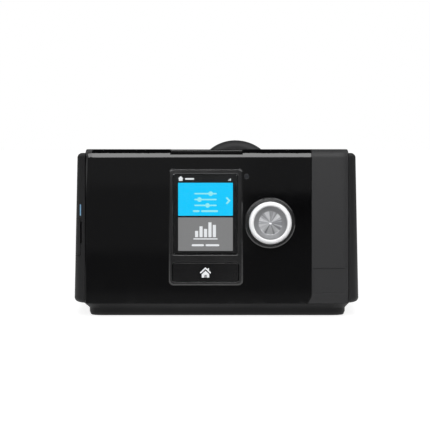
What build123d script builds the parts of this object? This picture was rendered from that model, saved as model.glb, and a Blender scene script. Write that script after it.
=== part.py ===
from build123d import *
import os
from math import cos, radians, sin, tan

# Bedside positive-airway-pressure machine with a heated humidifier.
# Millimetres, +Z up, front face towards -Y, origin on the table under the middle of the machine.

# ---------------------------------------------------------------- driving dimensions
# body
half_width = 103.4          # widest, at mid depth of the bottom edge
side_bow = 3.9              # each side's corners lie in from its widest point by this much
corner_half_width = half_width - side_bow
side_draft = 2.3            # each side leans in by this much over the shell's height
front_y = -72.2             # bottom edge of the leaning front
rear_y = 68.8               # rear wall
bow_y = -1.7                # depth at which the sides are widest
front_lean = 4.0            # degrees that the front leans back
corner_radius = 12.0        # vertical corners, in plan
face_base = 11.8            # height from which the front's own measures run
shell_bottom = 10.4
shell_top = 118.0           # at the front
top_fall = 1.2              # degrees that the top falls towards the rear
top_round = 6.2
wall = 2.4
cap_top = 115.4             # the end caps sit lower than the middle
cap_round = 3.4
cap_bottom_round = 3.0
seam_left = 7.7 - corner_half_width        # middle section's ends
seam_right = corner_half_width - 7.1
seam_gap = 0.3
end_wall = 2.2
end_round = 0.8
wrap_y = -39.2              # fascia and side panel reach back to here over the top
outside = 200.0             # far enough out for a cut that passes through

# front fascia and side panel
panel_seam_x = seam_right - 26.2
fascia_corner_x = 2.6       # cut lower right corner of the fascia
fascia_corner_z = 5.0
label_field = (panel_seam_x + 1.0, seam_right + 3.0, 17.3, 35.2)     # x from, x to, z from, z to
label_depth = 0.6

# front controls, (x, height up the face) from the face's bottom edge
bezel_width, bezel_height = 51.8, 81.8
bezel_x, bezel_v = panel_seam_x - 73.6, 52.2
bezel_proud, bezel_round = 1.4, 3.4
bezel_edge, window_edge = 1.1, 0.5         # chamfers round the bezel and round its window
bezel_body_inset = 1.4
bezel_depth = 8.0
home_width, home_height = 46.5, 13.3
home_margin = 9.4           # bezel's lower edge to the middle of the button
home_x = bezel_x - 0.2
home_v = bezel_v - bezel_height / 2 + home_margin
window_width, window_thick = 45.0, 1.6
window_margins = (5.55, 4.0)                # above the home button, below the bezel's top edge
window_low = home_v + home_height / 2 + window_margins[0]
window_height = bezel_v + bezel_height / 2 - window_margins[1] - window_low
window_x = bezel_x - 0.45
window_v = window_low + window_height / 2
window_drop = 0.8           # window face below the bezel's face
screen_margins = (2.4, 1.3)                 # window's edge to the screen's, at the sides and ends
screen_width = window_width - 2 * screen_margins[0]
screen_height = window_height - 2 * screen_margins[1]
screen_thick = 3.6
home_proud, home_thick, home_travel = 1.0, 4.5, 0.6
button_gap = 0.25
dial_x, dial_v = panel_seam_x - 28.9, 55.0
sensor_x, sensor_v, sensor_radius = dial_x - 16.3, 87.5, 1.7
ring_radius, ring_band = 14.75, 3.1
ring_proud = 8.6
dish_flat_radius, dish_depth = 8.0, 1.7
dial_gap = 0.35
surround_radius, surround_proud = 17.8, 0.6
well_depth = 4.5
dial_travel = 0.5
shaft_radius, shaft_fit = 3.0, 0.05
board_depth, board_thick = 12.0, 1.6       # boards behind the face
display_board = (bezel_x - 36.6, dial_x + 22.7, 8.0, 95.0)   # x from, x to, v from, v to

# start button in the top front edge
start_x, start_width = bezel_x + 0.4, 50.6
start_rear_y = -42.2
start_lip_z = 114.2
start_reveal = 1.5          # gap over the lip, below the button's front edge
start_skirt_z = 111.0
start_sink = 0.5            # button's top below the shell's
start_travel = 0.5

# left end cap: status light, card door, adapter cover
light_x, light_width = 4.3 - corner_half_width, 1.3
light_z_low, light_z_high = 71.5, 79.3
door_z_low, door_z_high = 43.6, 69.3
door_front_x = 3.9 - corner_half_width
door_pivot = (-corner_half_width - 0.6, front_y + 37.0)
door_barrel = 1.3
pin_radius = 0.75
cover_gap = 0.3
finger_slot = (52.0, 67.3, 1.2)            # z from, z to, width
card_length, card_thick, card_width = 32.0, 2.1, 24.0
card_x_low, card_y, card_z = door_front_x, front_y + 23.4, 56.4
card_travel = 0.8
adapter_field = (9.0, 47.0, 23.0, 43.0)    # y from, y to, z from, z to
adapter_inner_x = 2.6 - corner_half_width
adapter_grip = 10.0         # width of the finger notch under the cover
connector_margin = 9.0

# base
tray_top, tray_bottom = 10.1, 0.8
tray_half_width = corner_half_width - 4.9
tray_front_y, tray_rear_y = front_y + 0.6, rear_y - 0.6
tray_band = (5.4, 4.4)                     # bevel: inwards, downwards
tray_edge = 2.2
tray_floor = 2.4
foot_radius, foot_inset = 7.5, 22.6
foot_places = [
    (side * (tray_half_width - foot_inset), y)
    for side in (-1, 1)
    for y in (tray_front_y + foot_inset, tray_rear_y - foot_inset + 1.4)
]
screw_shank, screw_head, screw_recess = 1.25, 3.0, 2.2
boss_radius, boss_height = 3.6, 10.0

# blower
blower_x, blower_y = seam_left + 45.8, 14.8
scroll_start, scroll_growth = 30.0, 7.5    # radius at the tongue, growth over the turn
scroll_wall = 2.0
scroll_z_low, scroll_z_high = 60.0, 84.0
scroll_duct = 17.0
sleeve_length = 10.0
impeller_radius, impeller_blades = 25.5, 11
motor_radius, motor_z_low = 22.0, 40.0
motor_shaft_radius = 2.0

# humidifier bay and water tub
bay_x_low = blower_x + 52.0
bay_y_low, bay_y_high = -37.7, 40.3
bay_z_low, bay_z_high = 15.2, 88.0
bay_wall = 1.8
tub_clearance = 1.0
tub_x_low = bay_x_low + 4.0
tub_wall = 2.0
tub_bottom, seal_bottom, lid_bottom, lid_top = 19.5, 61.0, 63.0, 84.0
heater_margin = 10.2        # tub's inner end to the plate's
heater_size = (seam_right - tub_x_low - 2 * heater_margin, 54.0, 3.2)
heater_center = ((tub_x_low + seam_right) / 2 - 1.2, (bay_y_low + bay_y_high) / 2)
heater_top = 19.2
heater_travel = 1.5
port_z, port_radius = 72.0, 8.0
port_inlet_y, port_outlet_y = -12.2, 17.8
latch_width, latch_length, latch_travel = 24.0, 4.0, 1.5
tongue_slot = (-8.5, 8.5, 103.0, 108.5)    # y from, y to, z from, z to
end_cap_hollow = (seam_right + 3.0, seam_right + 5.4, -30.0, 28.0, 30.0, 99.0)    # x, y and z from and to

# outlet at the rear
outlet_x, outlet_z = bay_x_low + 9.7, 91.0
hood_radius, hood_round = 32.8, 5.0
hood_y_low, hood_y_high = 40.8, 70.3
port_tip_y = 77.8
tube_radius, tube_bore = 11.0, 9.25
pocket_radius, pocket_depth = 19.5, 13.0

# rear: filter cover, power inlet, retention clip
filter_field = (seam_left + 7.8, seam_left + 55.8, 30.0, 86.0)     # x from, x to, z from, z to
filter_rim, filter_lip, filter_frame_depth = 2.5, 5.0, 12.0
inlet_x, inlet_z = filter_field[1] + 24.0, 28.0
socket_width, socket_height, socket_depth = 13.0, 9.6, 12.0
clip_half_span, clip_pivot = 12.0, (71.5, 42.0)  # half distance between arms, pivot (y, z)
clip_height = 25.0

# screws that hold the tray to the housing
screw_x_left, screw_x_right = seam_left + 8.8, seam_right - 9.4
screw_places = [
    (screw_x_left, -37),
    (screw_x_right, -43.5),
    (screw_x_left, 53),
    (screw_x_right, 53),
    (inlet_x - 19, 60),
]

# ---------------------------------------------------------------- the leaning face
lean, fall = radians(front_lean), radians(top_fall)
face = Plane(origin=(0, front_y, face_base), x_dir=(1, 0, 0), z_dir=(0, -cos(lean), sin(lean)))
face_normal = Axis(face.origin, face.z_dir)
front_top_y = front_y + (shell_top - face_base) * tan(lean)
os.makedirs("parts", exist_ok=True)


def save(piece, name):
    """Label a finished piece and write its STEP file."""
    piece.part.label = name
    export_step(piece.part, f"parts/{name}.step")


# ---------------------------------------------------------------- body envelope
def plan_outline(z, inset):
    """Outline of the body at height z: flat front and rear, bowed sides, round corners."""
    rise = (z - shell_bottom) / (shell_top - shell_bottom)
    corner_x = corner_half_width - side_draft * rise - inset
    bow_x = half_width - side_draft * rise - inset
    y_front = front_y + (z - face_base) * tan(lean) + inset
    y_rear = rear_y - inset
    with BuildSketch(Plane.XY.offset(z)) as plan:
        with BuildLine():
            Line((-corner_x, y_front), (corner_x, y_front))
            ThreePointArc((corner_x, y_front), (bow_x, bow_y), (corner_x, y_rear))
            Line((corner_x, y_rear), (-corner_x, y_rear))
            ThreePointArc((-corner_x, y_rear), (-bow_x, bow_y), (-corner_x, y_front))
        make_face()
        fillet(plan.vertices(), corner_radius - inset)
    return plan.sketch


def top_at(y, z_high):
    """Height of the falling top at depth y, for a top that starts at z_high."""
    return z_high - (y - front_top_y) * tan(fall)


def body_block(inset, z_low, z_high, top_edge, bottom_edge=0):
    """The body's outer form drawn in by inset, from a level bottom to the falling top."""
    falling_top = Plane(origin=(0, front_top_y, z_high), z_dir=(0, sin(fall), cos(fall)))
    with BuildPart() as block:
        loft([plan_outline(z_low, inset), plan_outline(z_high + 1, inset)])
        split(bisect_by=falling_top, keep=Keep.BOTTOM)
        fillet(block.faces().sort_by(Axis.Z)[-1].edges(), top_edge)
        if bottom_edge:
            fillet(block.faces().sort_by(Axis.Z)[0].edges(), bottom_edge)
    return block.part


def slab(x_low, x_high, y_low, y_high, z_low, z_high, mode=Mode.ADD):
    """An upright block between six faces, in the open part."""
    with Locations(((x_low + x_high) / 2, (y_low + y_high) / 2, (z_low + z_high) / 2)):
        Box(x_high - x_low, y_high - y_low, z_high - z_low, mode=mode)


def grown(low, high, amount):
    """A pair of limits moved apart by amount at each end."""
    return low - amount, high + amount


with BuildPart() as middle_skin:
    add(body_block(0, shell_bottom, shell_top, top_round))
    slab(seam_left, seam_right, -outside, outside, 0, outside, mode=Mode.INTERSECT)
    end_edges = [
        edge
        for end in (middle_skin.faces().sort_by(Axis.X)[0], middle_skin.faces().sort_by(Axis.X)[-1])
        for edge in end.edges()
        if edge.center().Z > shell_bottom + 1
    ]
    fillet(end_edges, end_round)

middle_cavity = body_block(wall, shell_bottom - 4, shell_top - wall, top_round - wall)
cap_skin = body_block(0, shell_bottom, cap_top, cap_round, cap_bottom_round)
cap_cavity = body_block(wall, shell_bottom + wall, cap_top - wall, cap_round - wall)

# ---------------------------------------------------------------- outlet hood
# Round hood over the air outlet: a closed drum let into the rear top edge of the housing.
def hood_form(grow):
    """The drum's outer form, larger all round by grow."""
    with BuildPart() as form:
        with BuildSketch(Plane.XZ.offset(-hood_y_low + grow)):
            with Locations((outlet_x, outlet_z)):
                Circle(hood_radius + grow)
        extrude(amount=-(hood_y_high - hood_y_low + 2 * grow))
        fillet(form.faces().sort_by(Axis.Y)[0].edges(), hood_round)
    return form.part


with BuildPart() as outlet_hood:
    add(hood_form(0))
    with BuildSketch(Plane.XZ.offset(-hood_y_high + pocket_depth + wall)):
        with Locations((outlet_x, outlet_z)):
            Circle(hood_radius - wall)
    extrude(amount=hood_y_high - hood_y_low - pocket_depth - 2 * wall, mode=Mode.SUBTRACT)
    with BuildSketch(Plane.XZ.offset(-hood_y_high)):
        with Locations((outlet_x, outlet_z)):
            Circle(pocket_radius)
    extrude(amount=pocket_depth, mode=Mode.SUBTRACT)
    with BuildSketch(Plane.XZ.offset(-hood_y_high)):
        with Locations((outlet_x, outlet_z)):
            Circle(tube_bore)
    extrude(amount=pocket_depth + wall, mode=Mode.SUBTRACT)
    with BuildSketch(Plane.XZ.offset(-hood_y_low)):
        with Locations((outlet_x, outlet_z + port_radius)):
            Circle(port_radius - 1.5)
    extrude(amount=-wall, mode=Mode.SUBTRACT)
save(outlet_hood, "outlet_hood")

# 22 mm air outlet, a flanged tube standing in the hood's pocket.
pocket_y = hood_y_high - pocket_depth
flange_thick, flange_radius = 2.0, 15.0
with BuildPart() as outlet_port:
    with BuildSketch(Plane.YZ.offset(outlet_x)):
        with BuildLine():
            Polyline(
                (pocket_y, outlet_z + tube_bore),
                (port_tip_y, outlet_z + tube_bore),
                (port_tip_y, outlet_z + tube_radius - 0.7),
                (port_tip_y - 0.7, outlet_z + tube_radius),
                (pocket_y + flange_thick, outlet_z + tube_radius),
                (pocket_y + flange_thick, outlet_z + flange_radius),
                (pocket_y, outlet_z + flange_radius),
                close=True,
            )
        make_face()
    revolve(axis=Axis((outlet_x, 0, outlet_z), (0, 1, 0)))
save(outlet_port, "outlet_port")

# Three spring contacts for a heated air tube, below the port.
with BuildPart() as outlet_contacts:
    with BuildSketch(Plane.XZ.offset(-pocket_y)):
        with Locations(*[(outlet_x + dx, outlet_z - 17.4) for dx in (-4, 0, 4)]):
            Rectangle(1.6, 2.4)
    extrude(amount=-7)
save(outlet_contacts, "outlet_contacts")

# ---------------------------------------------------------------- rear and top housing
filter_x_low, filter_x_high, filter_z_low, filter_z_high = filter_field
clip_pivot_y, clip_pivot_z = clip_pivot
adapter_y_low, adapter_y_high, adapter_z_low, adapter_z_high = adapter_field
bay_mouth = (
    bay_y_low + bay_wall,
    bay_y_high - bay_wall,
    bay_z_low + bay_wall,
    bay_z_high - bay_wall,
)
cover_pivot = (filter_x_low + door_barrel + cover_gap, rear_y - door_barrel + 0.3)
with BuildPart() as end_walls:
    add(middle_cavity)
    slab(seam_left, seam_right, -outside, outside, shell_bottom, outside, mode=Mode.INTERSECT)
    slab(seam_left + end_wall, seam_right - end_wall, -outside, outside, 0, outside, mode=Mode.SUBTRACT)

with BuildPart() as rear_housing:
    add(middle_skin.part)
    add(middle_cavity, mode=Mode.SUBTRACT)
    slab(-outside, outside, wrap_y, outside, 0, outside, mode=Mode.INTERSECT)
    add(end_walls.part)
    # frame for the air filter behind its cover: rim, filter pocket, air opening, seat of the cover
    slab(*grown(filter_x_low, filter_x_high, filter_rim), rear_y - filter_frame_depth, rear_y - wall,
         *grown(filter_z_low, filter_z_high, filter_rim))
    slab(*grown(filter_x_low, filter_x_high, -1), rear_y - filter_frame_depth + wall, rear_y,
         *grown(filter_z_low, filter_z_high, -1), mode=Mode.SUBTRACT)
    slab(*grown(filter_x_low, filter_x_high, -filter_lip), rear_y - 20, rear_y,
         *grown(filter_z_low, filter_z_high, -filter_lip), mode=Mode.SUBTRACT)
    slab(filter_x_low, filter_x_high + cover_gap, rear_y - wall, rear_y + 2,
         *grown(filter_z_low, filter_z_high, cover_gap), mode=Mode.SUBTRACT)
    # outlet hood seat
    add(hood_form(0.1), mode=Mode.SUBTRACT)
    # bosses for the base screws, each tied to the nearest wall
    for x, y in screw_places:
        with Locations((x, y, shell_bottom + boss_height / 2)):
            Cylinder(boss_radius, boss_height)
        if x in (screw_x_left, screw_x_right):
            wall_x = seam_left + 1 if x < 0 else seam_right - 1
            slab(min(x, wall_x), max(x, wall_x), y - 1, y + 1, shell_bottom, shell_bottom + boss_height)
        else:
            slab(x - 1, x + 1, y, rear_y - 1, shell_bottom, shell_bottom + boss_height)
        with Locations((x, y, shell_bottom + boss_height / 2)):
            Cylinder(screw_shank + 0.05, boss_height, mode=Mode.SUBTRACT)
    # bores for the filter cover's pin
    with Locations((*cover_pivot, (filter_z_low + filter_z_high) / 2)):
        Cylinder(pin_radius + 0.03, filter_z_high - filter_z_low + 6.4, mode=Mode.SUBTRACT)
    # socket opening and clip ears
    with BuildSketch(Plane.XZ.offset(-rear_y)):
        with Locations((inlet_x, inlet_z)):
            RectangleRounded(socket_width + 5, socket_height + 5, 3)
    extrude(amount=wall + 1, mode=Mode.SUBTRACT)
    for side in (-1, 1):
        ear_x = inlet_x + side * (clip_half_span + 4.5)
        with BuildSketch(Plane.YZ.offset(ear_x - 1.5)) as ear:
            with Locations((clip_pivot_y, clip_pivot_z)):
                Circle(2.6)
            with Locations(((rear_y - 0.5 + clip_pivot_y) / 2, clip_pivot_z)):
                Rectangle(clip_pivot_y - rear_y + 0.5, 5.2)
        extrude(amount=3)
        with BuildSketch(Plane.YZ.offset(ear_x - 1.5)):
            with Locations((clip_pivot_y, clip_pivot_z)):
                Circle(1.25)
        extrude(amount=3, mode=Mode.SUBTRACT)
    # mouth of the humidifier bay, slot for the upper latch's tongue
    right_wall = (seam_right - end_wall - 1, seam_right + 1)
    slab(*right_wall, *bay_mouth, mode=Mode.SUBTRACT)
    slab(*right_wall, *tongue_slot, mode=Mode.SUBTRACT)
    # card slot and adapter connector opening in the left end wall
    left_wall = (seam_left - 1, seam_left + end_wall + 1)
    slab(*left_wall, *grown(card_y - card_thick / 2, card_y + card_thick / 2, 0.4),
         *grown(card_z - card_width / 2, card_z + card_width / 2, 0.5), mode=Mode.SUBTRACT)
    slab(*left_wall, *grown(adapter_y_low, adapter_y_high, -connector_margin),
         *grown(adapter_z_low, adapter_z_high, -4), mode=Mode.SUBTRACT)
save(rear_housing, "rear_housing")

# ---------------------------------------------------------------- front fascia and side panel
def front_piece(points):
    """Part of the front skin inside an outline seen from the front, wrapped over the top edge."""
    with BuildPart() as piece:
        add(middle_skin.part)
        add(middle_cavity, mode=Mode.SUBTRACT)
        with BuildSketch(Plane.XZ.offset(-wrap_y + seam_gap)):
            with BuildLine():
                Polyline(*points, close=True)
            make_face()
        extrude(amount=60, mode=Mode.INTERSECT)
    return piece.part


skin_low, skin_high = shell_bottom - 1, shell_top + 5
fascia_outline = [
    (seam_left - 5, skin_low),
    (panel_seam_x - fascia_corner_x, skin_low),
    (panel_seam_x - fascia_corner_x, shell_bottom),
    (panel_seam_x, shell_bottom + fascia_corner_z),
    (panel_seam_x, skin_high),
    (seam_left - 5, skin_high),
]
panel_outline = [
    (panel_seam_x - fascia_corner_x + seam_gap, skin_low),
    (seam_right + 5, skin_low),
    (seam_right + 5, skin_high),
    (panel_seam_x + seam_gap, skin_high),
    (panel_seam_x + seam_gap, shell_bottom + fascia_corner_z),
    (panel_seam_x - fascia_corner_x + seam_gap, shell_bottom),
]
bezel_body_width = bezel_width - 2 * bezel_body_inset
bezel_body_height = bezel_height - 2 * bezel_body_inset
start_low, start_high = start_x - start_width / 2, start_x + start_width / 2
board_x_low, board_x_high, board_v_low, board_v_high = display_board
board_corners = [
    (x, v)
    for x in (board_x_low + 4, board_x_high - 4)
    for v in (board_v_low + 4, board_v_high - 6)
]

with BuildPart() as front_fascia:
    add(front_piece(fascia_outline))
    with BuildSketch(face.offset(2)):
        with Locations((bezel_x, bezel_v)):
            RectangleRounded(bezel_body_width + 0.2, bezel_body_height + 0.2, bezel_round - bezel_body_inset)
        with Locations((dial_x, dial_v)):
            Circle(surround_radius - 1.4)
        with Locations((sensor_x, sensor_v)):
            Circle(sensor_radius + 0.05)
    extrude(amount=-8, mode=Mode.SUBTRACT)
    # notch for the start button: a low lip in front, open behind it
    slab(start_low, start_high, front_y, start_rear_y, start_lip_z, outside, mode=Mode.SUBTRACT)
    slab(start_low, start_high, front_top_y + wall + 0.2, start_rear_y, start_skirt_z - 1.5, shell_top,
         mode=Mode.SUBTRACT)
    # screw posts for the display board
    with BuildSketch(face.offset(-wall + 0.4)):
        with Locations(*board_corners):
            Circle(3)
    extrude(amount=-(board_depth - wall + 0.4))
    with BuildSketch(face.offset(-board_depth)):
        with Locations(*board_corners):
            Circle(1.1)
    extrude(amount=6, mode=Mode.SUBTRACT)
save(front_fascia, "front_fascia")

label_x_low, label_x_high, label_z_low, label_z_high = label_field
with BuildPart() as front_side_panel:
    add(front_piece(panel_outline))
    with BuildSketch(face.offset(-label_depth)):
        with Locations(((label_x_low + label_x_high) / 2, (label_z_low + label_z_high) / 2 - face_base)):
            RectangleRounded(label_x_high - label_x_low, label_z_high - label_z_low, 1.2)
    extrude(amount=3, mode=Mode.SUBTRACT)
save(front_side_panel, "front_side_panel")

# ---------------------------------------------------------------- display, home button, sensor
with BuildPart() as display_bezel:
    with BuildSketch(face):
        with Locations((bezel_x, bezel_v)):
            RectangleRounded(bezel_width, bezel_height, bezel_round)
    extrude(amount=bezel_proud)
    chamfer(display_bezel.faces().sort_by(face_normal)[-1].outer_wire().edges(), bezel_edge)
    with BuildSketch(face):
        with Locations((bezel_x, bezel_v)):
            RectangleRounded(bezel_body_width, bezel_body_height, bezel_round - bezel_body_inset)
    extrude(amount=-bezel_depth)
    with BuildSketch(face.offset(bezel_proud)):
        with Locations((window_x, window_v)):
            RectangleRounded(window_width, window_height, 1.2)
    extrude(amount=-(window_drop + window_thick), mode=Mode.SUBTRACT)
    chamfer(display_bezel.faces().sort_by(face_normal)[-1].inner_wires().edges(), window_edge)
    with BuildSketch(face.offset(bezel_proud)):
        with Locations((window_x, window_v)):
            Rectangle(screen_width + 0.2, screen_height + 0.2)
        with Locations((home_x, home_v)):
            RectangleRounded(home_width + 2 * button_gap, home_height + 2 * button_gap, 2.2)
    extrude(amount=-(bezel_proud + bezel_depth), mode=Mode.SUBTRACT)
save(display_bezel, "display_bezel")

window_face = bezel_proud - window_drop
with BuildPart() as display_window:
    with BuildSketch(face.offset(window_face)):
        with Locations((window_x, window_v)):
            RectangleRounded(window_width - 0.1, window_height - 0.1, 1.1)
    extrude(amount=-window_thick)
save(display_window, "display_window")

with BuildPart() as lcd_module:
    with BuildSketch(face.offset(window_face - window_thick)):
        with Locations((window_x, window_v)):
            Rectangle(screen_width, screen_height)
    extrude(amount=-screen_thick)
save(lcd_module, "lcd_module")

# The home button is a bar with rounded ends of its top edge and a stem towards its switch.
switch_height = 3.6
stem_end = board_depth - switch_height - home_travel - 0.1
with BuildPart() as home_button:
    with BuildSketch(face.offset(home_proud)):
        with Locations((home_x, home_v)):
            RectangleRounded(home_width, home_height, 2)
    extrude(amount=-home_thick)
    chamfer(home_button.faces().sort_by(face_normal)[-1].edges(), 0.5)
    with BuildSketch(face.offset(home_proud - home_thick)):
        with Locations((home_x, home_v)):
            Circle(2.2)
    extrude(amount=-(stem_end - home_thick + home_proud))
save(home_button, "home_button")

with BuildPart() as light_sensor_lens:
    with BuildSketch(face):
        with Locations((sensor_x, sensor_v)):
            Circle(sensor_radius)
    extrude(amount=-wall)
save(light_sensor_lens, "light_sensor_lens")

with BuildPart() as display_circuit_board:
    with BuildSketch(face.offset(-board_depth)):
        with Locations(((board_x_low + board_x_high) / 2, (board_v_low + board_v_high) / 2)):
            RectangleRounded(board_x_high - board_x_low, board_v_high - board_v_low, 2)
        with Locations(*board_corners):
            Circle(1.6, mode=Mode.SUBTRACT)
    extrude(amount=-board_thick)
save(display_circuit_board, "display_circuit_board")

with BuildPart() as display_board_screws:
    with BuildSketch(face.offset(-board_depth - board_thick)):
        with Locations(*board_corners):
            Circle(2.6)
    extrude(amount=-1.6)
    with BuildSketch(face.offset(-board_depth - board_thick)):
        with Locations(*board_corners):
            Circle(1.05)
    extrude(amount=board_thick + 5)
save(display_board_screws, "display_board_screws")

# Tact switches: one behind the home button, one at the board's top edge under the start button.
start_switch_v = board_v_high - 6.4
with BuildPart() as button_switches:
    with BuildSketch(face.offset(-board_depth)):
        with Locations((home_x, home_v)):
            Rectangle(6.2, 6.2)
        with Locations((start_x, start_switch_v)):
            Rectangle(7, 6.4)
    extrude(amount=switch_height - 1)
    with BuildSketch(face.offset(-board_depth)):
        with Locations((home_x, home_v)):
            Circle(1.7)
    extrude(amount=switch_height)
    with BuildSketch(face.offset(-board_depth)):
        with Locations((start_x, start_switch_v + 3.7)):
            Rectangle(3, 1.2)
    extrude(amount=switch_height - 1.4)
save(button_switches, "button_switches")

# ---------------------------------------------------------------- dial
dial_axis = Axis(face.from_local_coords((dial_x, dial_v, 0)), face.z_dir)
dial_section = Plane(origin=dial_axis.position, x_dir=(1, 0, 0), z_dir=-face.y_dir)
# In dial_section, the first coordinate is the radius and the second the height above the face.

with BuildPart() as dial_surround:
    with BuildSketch(dial_section):
        with BuildLine():
            Polyline(
                (ring_radius + dial_gap, surround_proud - 0.3),
                (surround_radius - 0.8, surround_proud),
                (surround_radius, 0),
                (surround_radius - 1.5, 0),
                (surround_radius - 1.5, -well_depth - 1.5),
                (3.8, -well_depth - 1.5),
                (3.8, -well_depth),
                (ring_radius + dial_gap, -well_depth),
                close=True,
            )
        make_face()
    revolve(axis=dial_axis)
save(dial_surround, "dial_surround")

skirt_end = -well_depth + 2 * dial_travel
dish_radius = ring_radius - ring_band
with BuildPart() as dial_ring:
    with BuildSketch(dial_section):
        with BuildLine():
            Polyline(
                (dish_radius, ring_proud - 3.4),
                (shaft_radius + 0.02, ring_proud - 3.4),
                (shaft_radius + 0.02, skirt_end + 0.7),
                (5.4, skirt_end + 0.7),
                (5.4, 2),
                (ring_radius - 2, 2),
                (ring_radius - 2, skirt_end),
                (ring_radius, skirt_end),
                (ring_radius, ring_proud - 1.8),
            )
            ThreePointArc(
                (ring_radius, ring_proud - 1.8),
                (ring_radius - 0.75, ring_proud - 0.5),
                (dish_radius + 0.5, ring_proud),
            )
            Polyline(
                (dish_radius + 0.5, ring_proud),
                (dish_radius, ring_proud - 0.4),
                (dish_radius, ring_proud - 3.4),
            )
        make_face()
    revolve(axis=dial_axis)
save(dial_ring, "dial_ring")

# Spun metal dish in the middle of the knob: sloping wall, flat floor.
dish_top = ring_proud - 0.5
with BuildPart() as dial_dish:
    with BuildSketch(dial_section):
        with BuildLine():
            Polyline(
                (0, ring_proud - 3.4),
                (dish_radius - 0.05, ring_proud - 3.4),
                (dish_radius - 0.05, dish_top),
                (dish_radius - 0.5, dish_top),
            )
            ThreePointArc(
                (dish_radius - 0.5, dish_top),
                ((dish_radius + dish_flat_radius) / 2 - 0.2, dish_top - dish_depth * 0.62),
                (dish_flat_radius, dish_top - dish_depth),
            )
            Polyline(
                (dish_flat_radius, dish_top - dish_depth),
                (0, dish_top - dish_depth + 0.3),
                (0, ring_proud - 3.4),
            )
        make_face()
    revolve(axis=dial_axis)
save(dial_dish, "dial_dish")

# Push encoder on the display board: body, bushing, turning shaft, press plunger under the shaft.
encoder_height = 5.6
bushing_top = skirt_end - dial_travel + 0.1
with BuildPart() as dial_encoder:
    with BuildSketch(face.offset(-board_depth)):
        with Locations((dial_x, dial_v)):
            Rectangle(12.4, 13)
    extrude(amount=encoder_height)
    with BuildSketch(face.offset(-board_depth)):
        with Locations((dial_x, dial_v)):
            Circle(3.6)
    extrude(amount=board_depth + bushing_top)
    with BuildSketch(face.offset(-board_depth + 1)):
        with Locations((dial_x, dial_v)):
            Circle(shaft_radius + shaft_fit)
    extrude(amount=board_depth, mode=Mode.SUBTRACT)
save(dial_encoder, "dial_encoder")

plunger_top = -board_depth + 1 + dial_travel + 1.6
with BuildPart() as encoder_plunger:
    with BuildSketch(face.offset(plunger_top)):
        with Locations((dial_x, dial_v)):
            Circle(shaft_radius - 0.1)
    extrude(amount=-1.4)
save(encoder_plunger, "encoder_plunger")

with BuildPart() as encoder_shaft:
    with BuildSketch(face.offset(plunger_top + 0.05)):
        with Locations((dial_x, dial_v)):
            Circle(shaft_radius)
    extrude(amount=ring_proud - 3.4 - plunger_top - 0.05)
save(encoder_shaft, "encoder_shaft")

# ---------------------------------------------------------------- start button
start_gap = 0.5
start_front_y = front_top_y + 0.9
with BuildPart() as start_button:
    slab(start_low + start_gap, start_high - start_gap, start_front_y, start_rear_y - start_gap,
         start_lip_z + start_reveal, shell_top - start_sink)
    slab(start_low + start_gap, start_high - start_gap, front_top_y + wall + 0.7, start_rear_y - start_gap,
         start_skirt_z, start_lip_z + start_reveal + 0.5)
    fillet(start_button.edges().filter_by(Axis.X).group_by(Axis.Z)[-1].sort_by(Axis.Y)[0], 0.8)
    fillet(start_button.edges().filter_by(Axis.Z).group_by(Axis.Y)[-1], 2)
    slab(start_low + 3, start_high - 3, front_top_y + wall + 2.7, start_rear_y - 2.5,
         start_skirt_z - 1, start_lip_z, mode=Mode.SUBTRACT)
    # stem towards the switch at the display board's top edge
    switch_top = face.from_local_coords((start_x, start_switch_v + 4.3, -board_depth + 1.2))
    slab(start_x - 3, start_x + 3, switch_top.Y - 1.5, switch_top.Y + 0.9,
         switch_top.Z + start_travel + 0.35, start_lip_z + 0.3)
save(start_button, "start_button")

# ---------------------------------------------------------------- left end cap
finger_z_low, finger_z_high, finger_width = finger_slot
pivot_x, pivot_y = door_pivot
front_edge_y = front_y + corner_radius      # behind the round front corner
light_field = (
    light_x - light_width / 2,
    light_x + light_width / 2,
    -outside,
    front_edge_y,
    light_z_low,
    light_z_high,
)
with BuildPart() as left_side_cap:
    add(cap_skin)
    add(cap_cavity, mode=Mode.SUBTRACT)
    slab(-outside, seam_left - seam_gap, -outside, outside, 0, outside, mode=Mode.INTERSECT)
    # bosses for the card door's pin
    door_bosses = (
        (door_z_low - 4, door_z_low - cover_gap),
        (door_z_high + cover_gap, door_z_high + 4),
    )
    for z_low, z_high in door_bosses:
        slab(pivot_x - 0.8, pivot_x + 2.2, pivot_y - 2.2, pivot_y + 2.2, z_low, z_high)
    slab(-outside, door_front_x + cover_gap, -outside, pivot_y + door_barrel + cover_gap,
         *grown(door_z_low, door_z_high, cover_gap), mode=Mode.SUBTRACT)
    slab(-outside, door_front_x + finger_width, -outside, front_edge_y, finger_z_low, finger_z_high,
         mode=Mode.SUBTRACT)
    with Locations((pivot_x, pivot_y, (door_z_low + door_z_high) / 2)):
        Cylinder(pin_radius + 0.03, door_z_high - door_z_low + 6, mode=Mode.SUBTRACT)
    # adapter opening and status light slot
    slab(-outside, adapter_inner_x, *grown(adapter_y_low, adapter_y_high, cover_gap),
         *grown(adapter_z_low, adapter_z_high, cover_gap), mode=Mode.SUBTRACT)
    slab(*light_field, mode=Mode.SUBTRACT)
save(left_side_cap, "left_side_cap")


def cap_patch(x_low, x_high, y_low, y_high, z_low, z_high):
    """A piece of the end caps' skin inside a block."""
    with BuildPart() as patch:
        add(cap_skin)
        add(cap_cavity, mode=Mode.SUBTRACT)
        slab(x_low, x_high, y_low, y_high, z_low, z_high, mode=Mode.INTERSECT)
    return patch.part


with BuildPart() as status_light_pipe:
    add(cap_patch(*light_field))
save(status_light_pipe, "status_light_pipe")

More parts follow.
